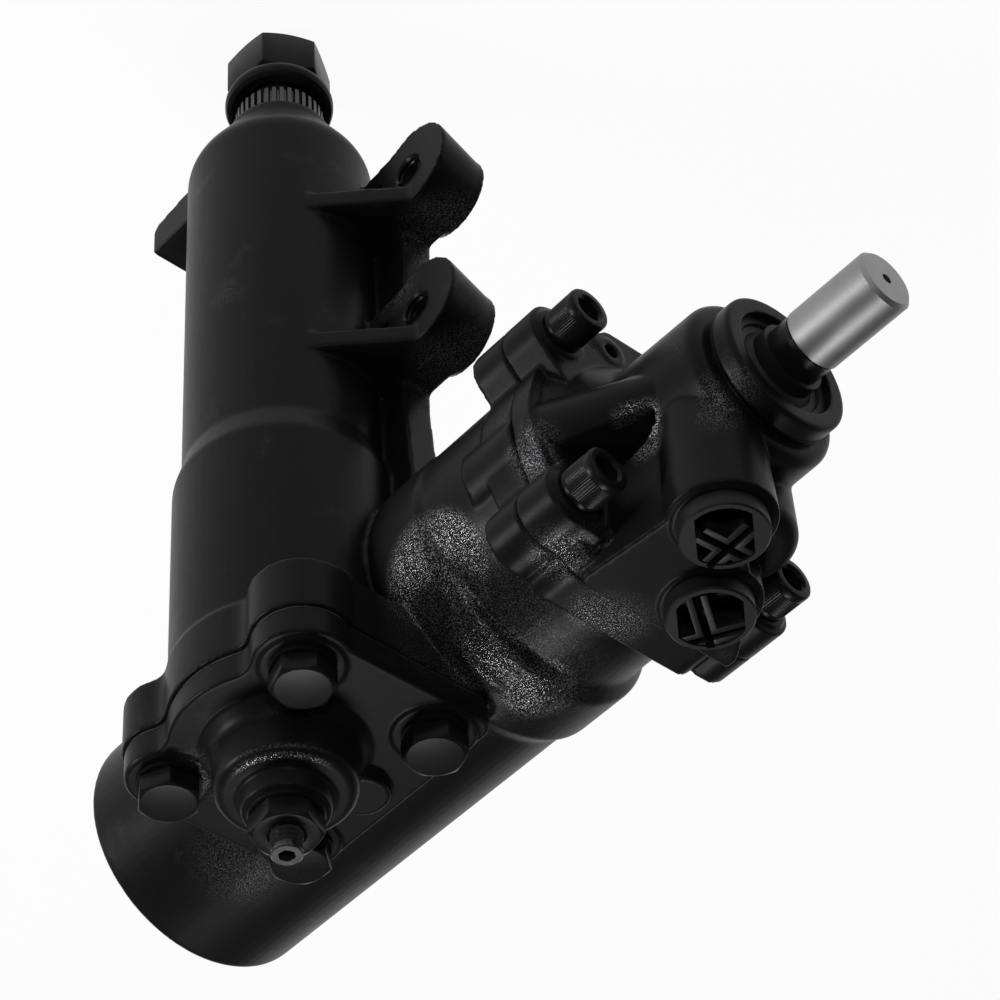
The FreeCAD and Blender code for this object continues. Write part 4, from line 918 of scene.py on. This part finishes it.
# two low ridges across the barrel: middle and spread are degrees about the worm axis
ridges = {"node": "gear_housing", "places": (50.6 * mm, 59.8 * mm), "axisY": -47.0 * mm, "reach": 45.9 * mm,
          "thick": 3.6 * mm, "shift": 12.0 * mm, "middle": 68.0, "spread": 34.0}


def ridgeRing(s, x):
    # part of a ring about the worm axis; its centre is shifted so that both ends sink into the barrel
    middle = math.radians(s["middle"])
    centre = Vector((x, s["axisY"] + s["shift"] * math.cos(middle), s["shift"] * math.sin(middle)))
    clearSelection()
    bpy.ops.mesh.primitive_torus_add(
        location=centre, rotation=(0, math.pi / 2, 0), major_radius=s["reach"] - s["shift"] - s["thick"],
        minor_radius=s["thick"], major_segments=144, minor_segments=20)
    obj = applied(bpy.context.object)
    pick(obj, lambda co: abs(math.degrees(math.atan2(co.z, co.y - s["axisY"])) - s["middle"]) > s["spread"])
    bpy.ops.mesh.delete(type="VERT")
    bpy.ops.mesh.select_all(action="SELECT")
    bpy.ops.mesh.select_non_manifold()
    bpy.ops.mesh.fill()
    leaveEdit()
    return obj


def softCasting(node, s):
    obj = copyOf(nodes[node])
    obj.parent = None
    obj.matrix_world = Matrix.Identity(4)
    editAll(obj)
    bpy.ops.mesh.remove_doubles(threshold=weld["frame"])
    leaveEdit()
    if node == ridges["node"]:
        obj = joined(obj, *[ridgeRing(ridges, x) for x in ridges["places"]])
    coarser = 1.0
    applyModifier(obj, "REMESH", mode="VOXEL", voxel_size=s["voxel"] * coarser * mm, adaptivity=0.0)
    applyModifier(obj, "SMOOTH", factor=0.5, iterations=int(s["soften"] / coarser))
    count = 2 * len(obj.data.polygons)
    if count > s["limit"]:
        applyModifier(obj, "DECIMATE", ratio=s["limit"] / count)
    finishPiece(obj, s["name"], "casting", "housing", 60.0, (node,))


bpy.ops.object.select_all(action="DESELECT")
addCamera(viewCamera)
addLamps()
makeLooks()
dressNodes()
for nodeName, setup in castings.items():
    softCasting(nodeName, setup)
makeCoverBolts(coverBolts)
makeValveScrews(valveScrews, screwWasher)
makeAdjuster(adjuster)
makeLockNut(lockNut, adjuster["radius"] + lockNut["boreGap"])
for nodeName, setup in portPlugs.items():
    makePlug(nodeName, setup, plugForm)
makeOutputNut(outputNut)
makeOutputWasher(outputWasher)
makeEarThreads(earThreads)
addFloor(floorSetup)
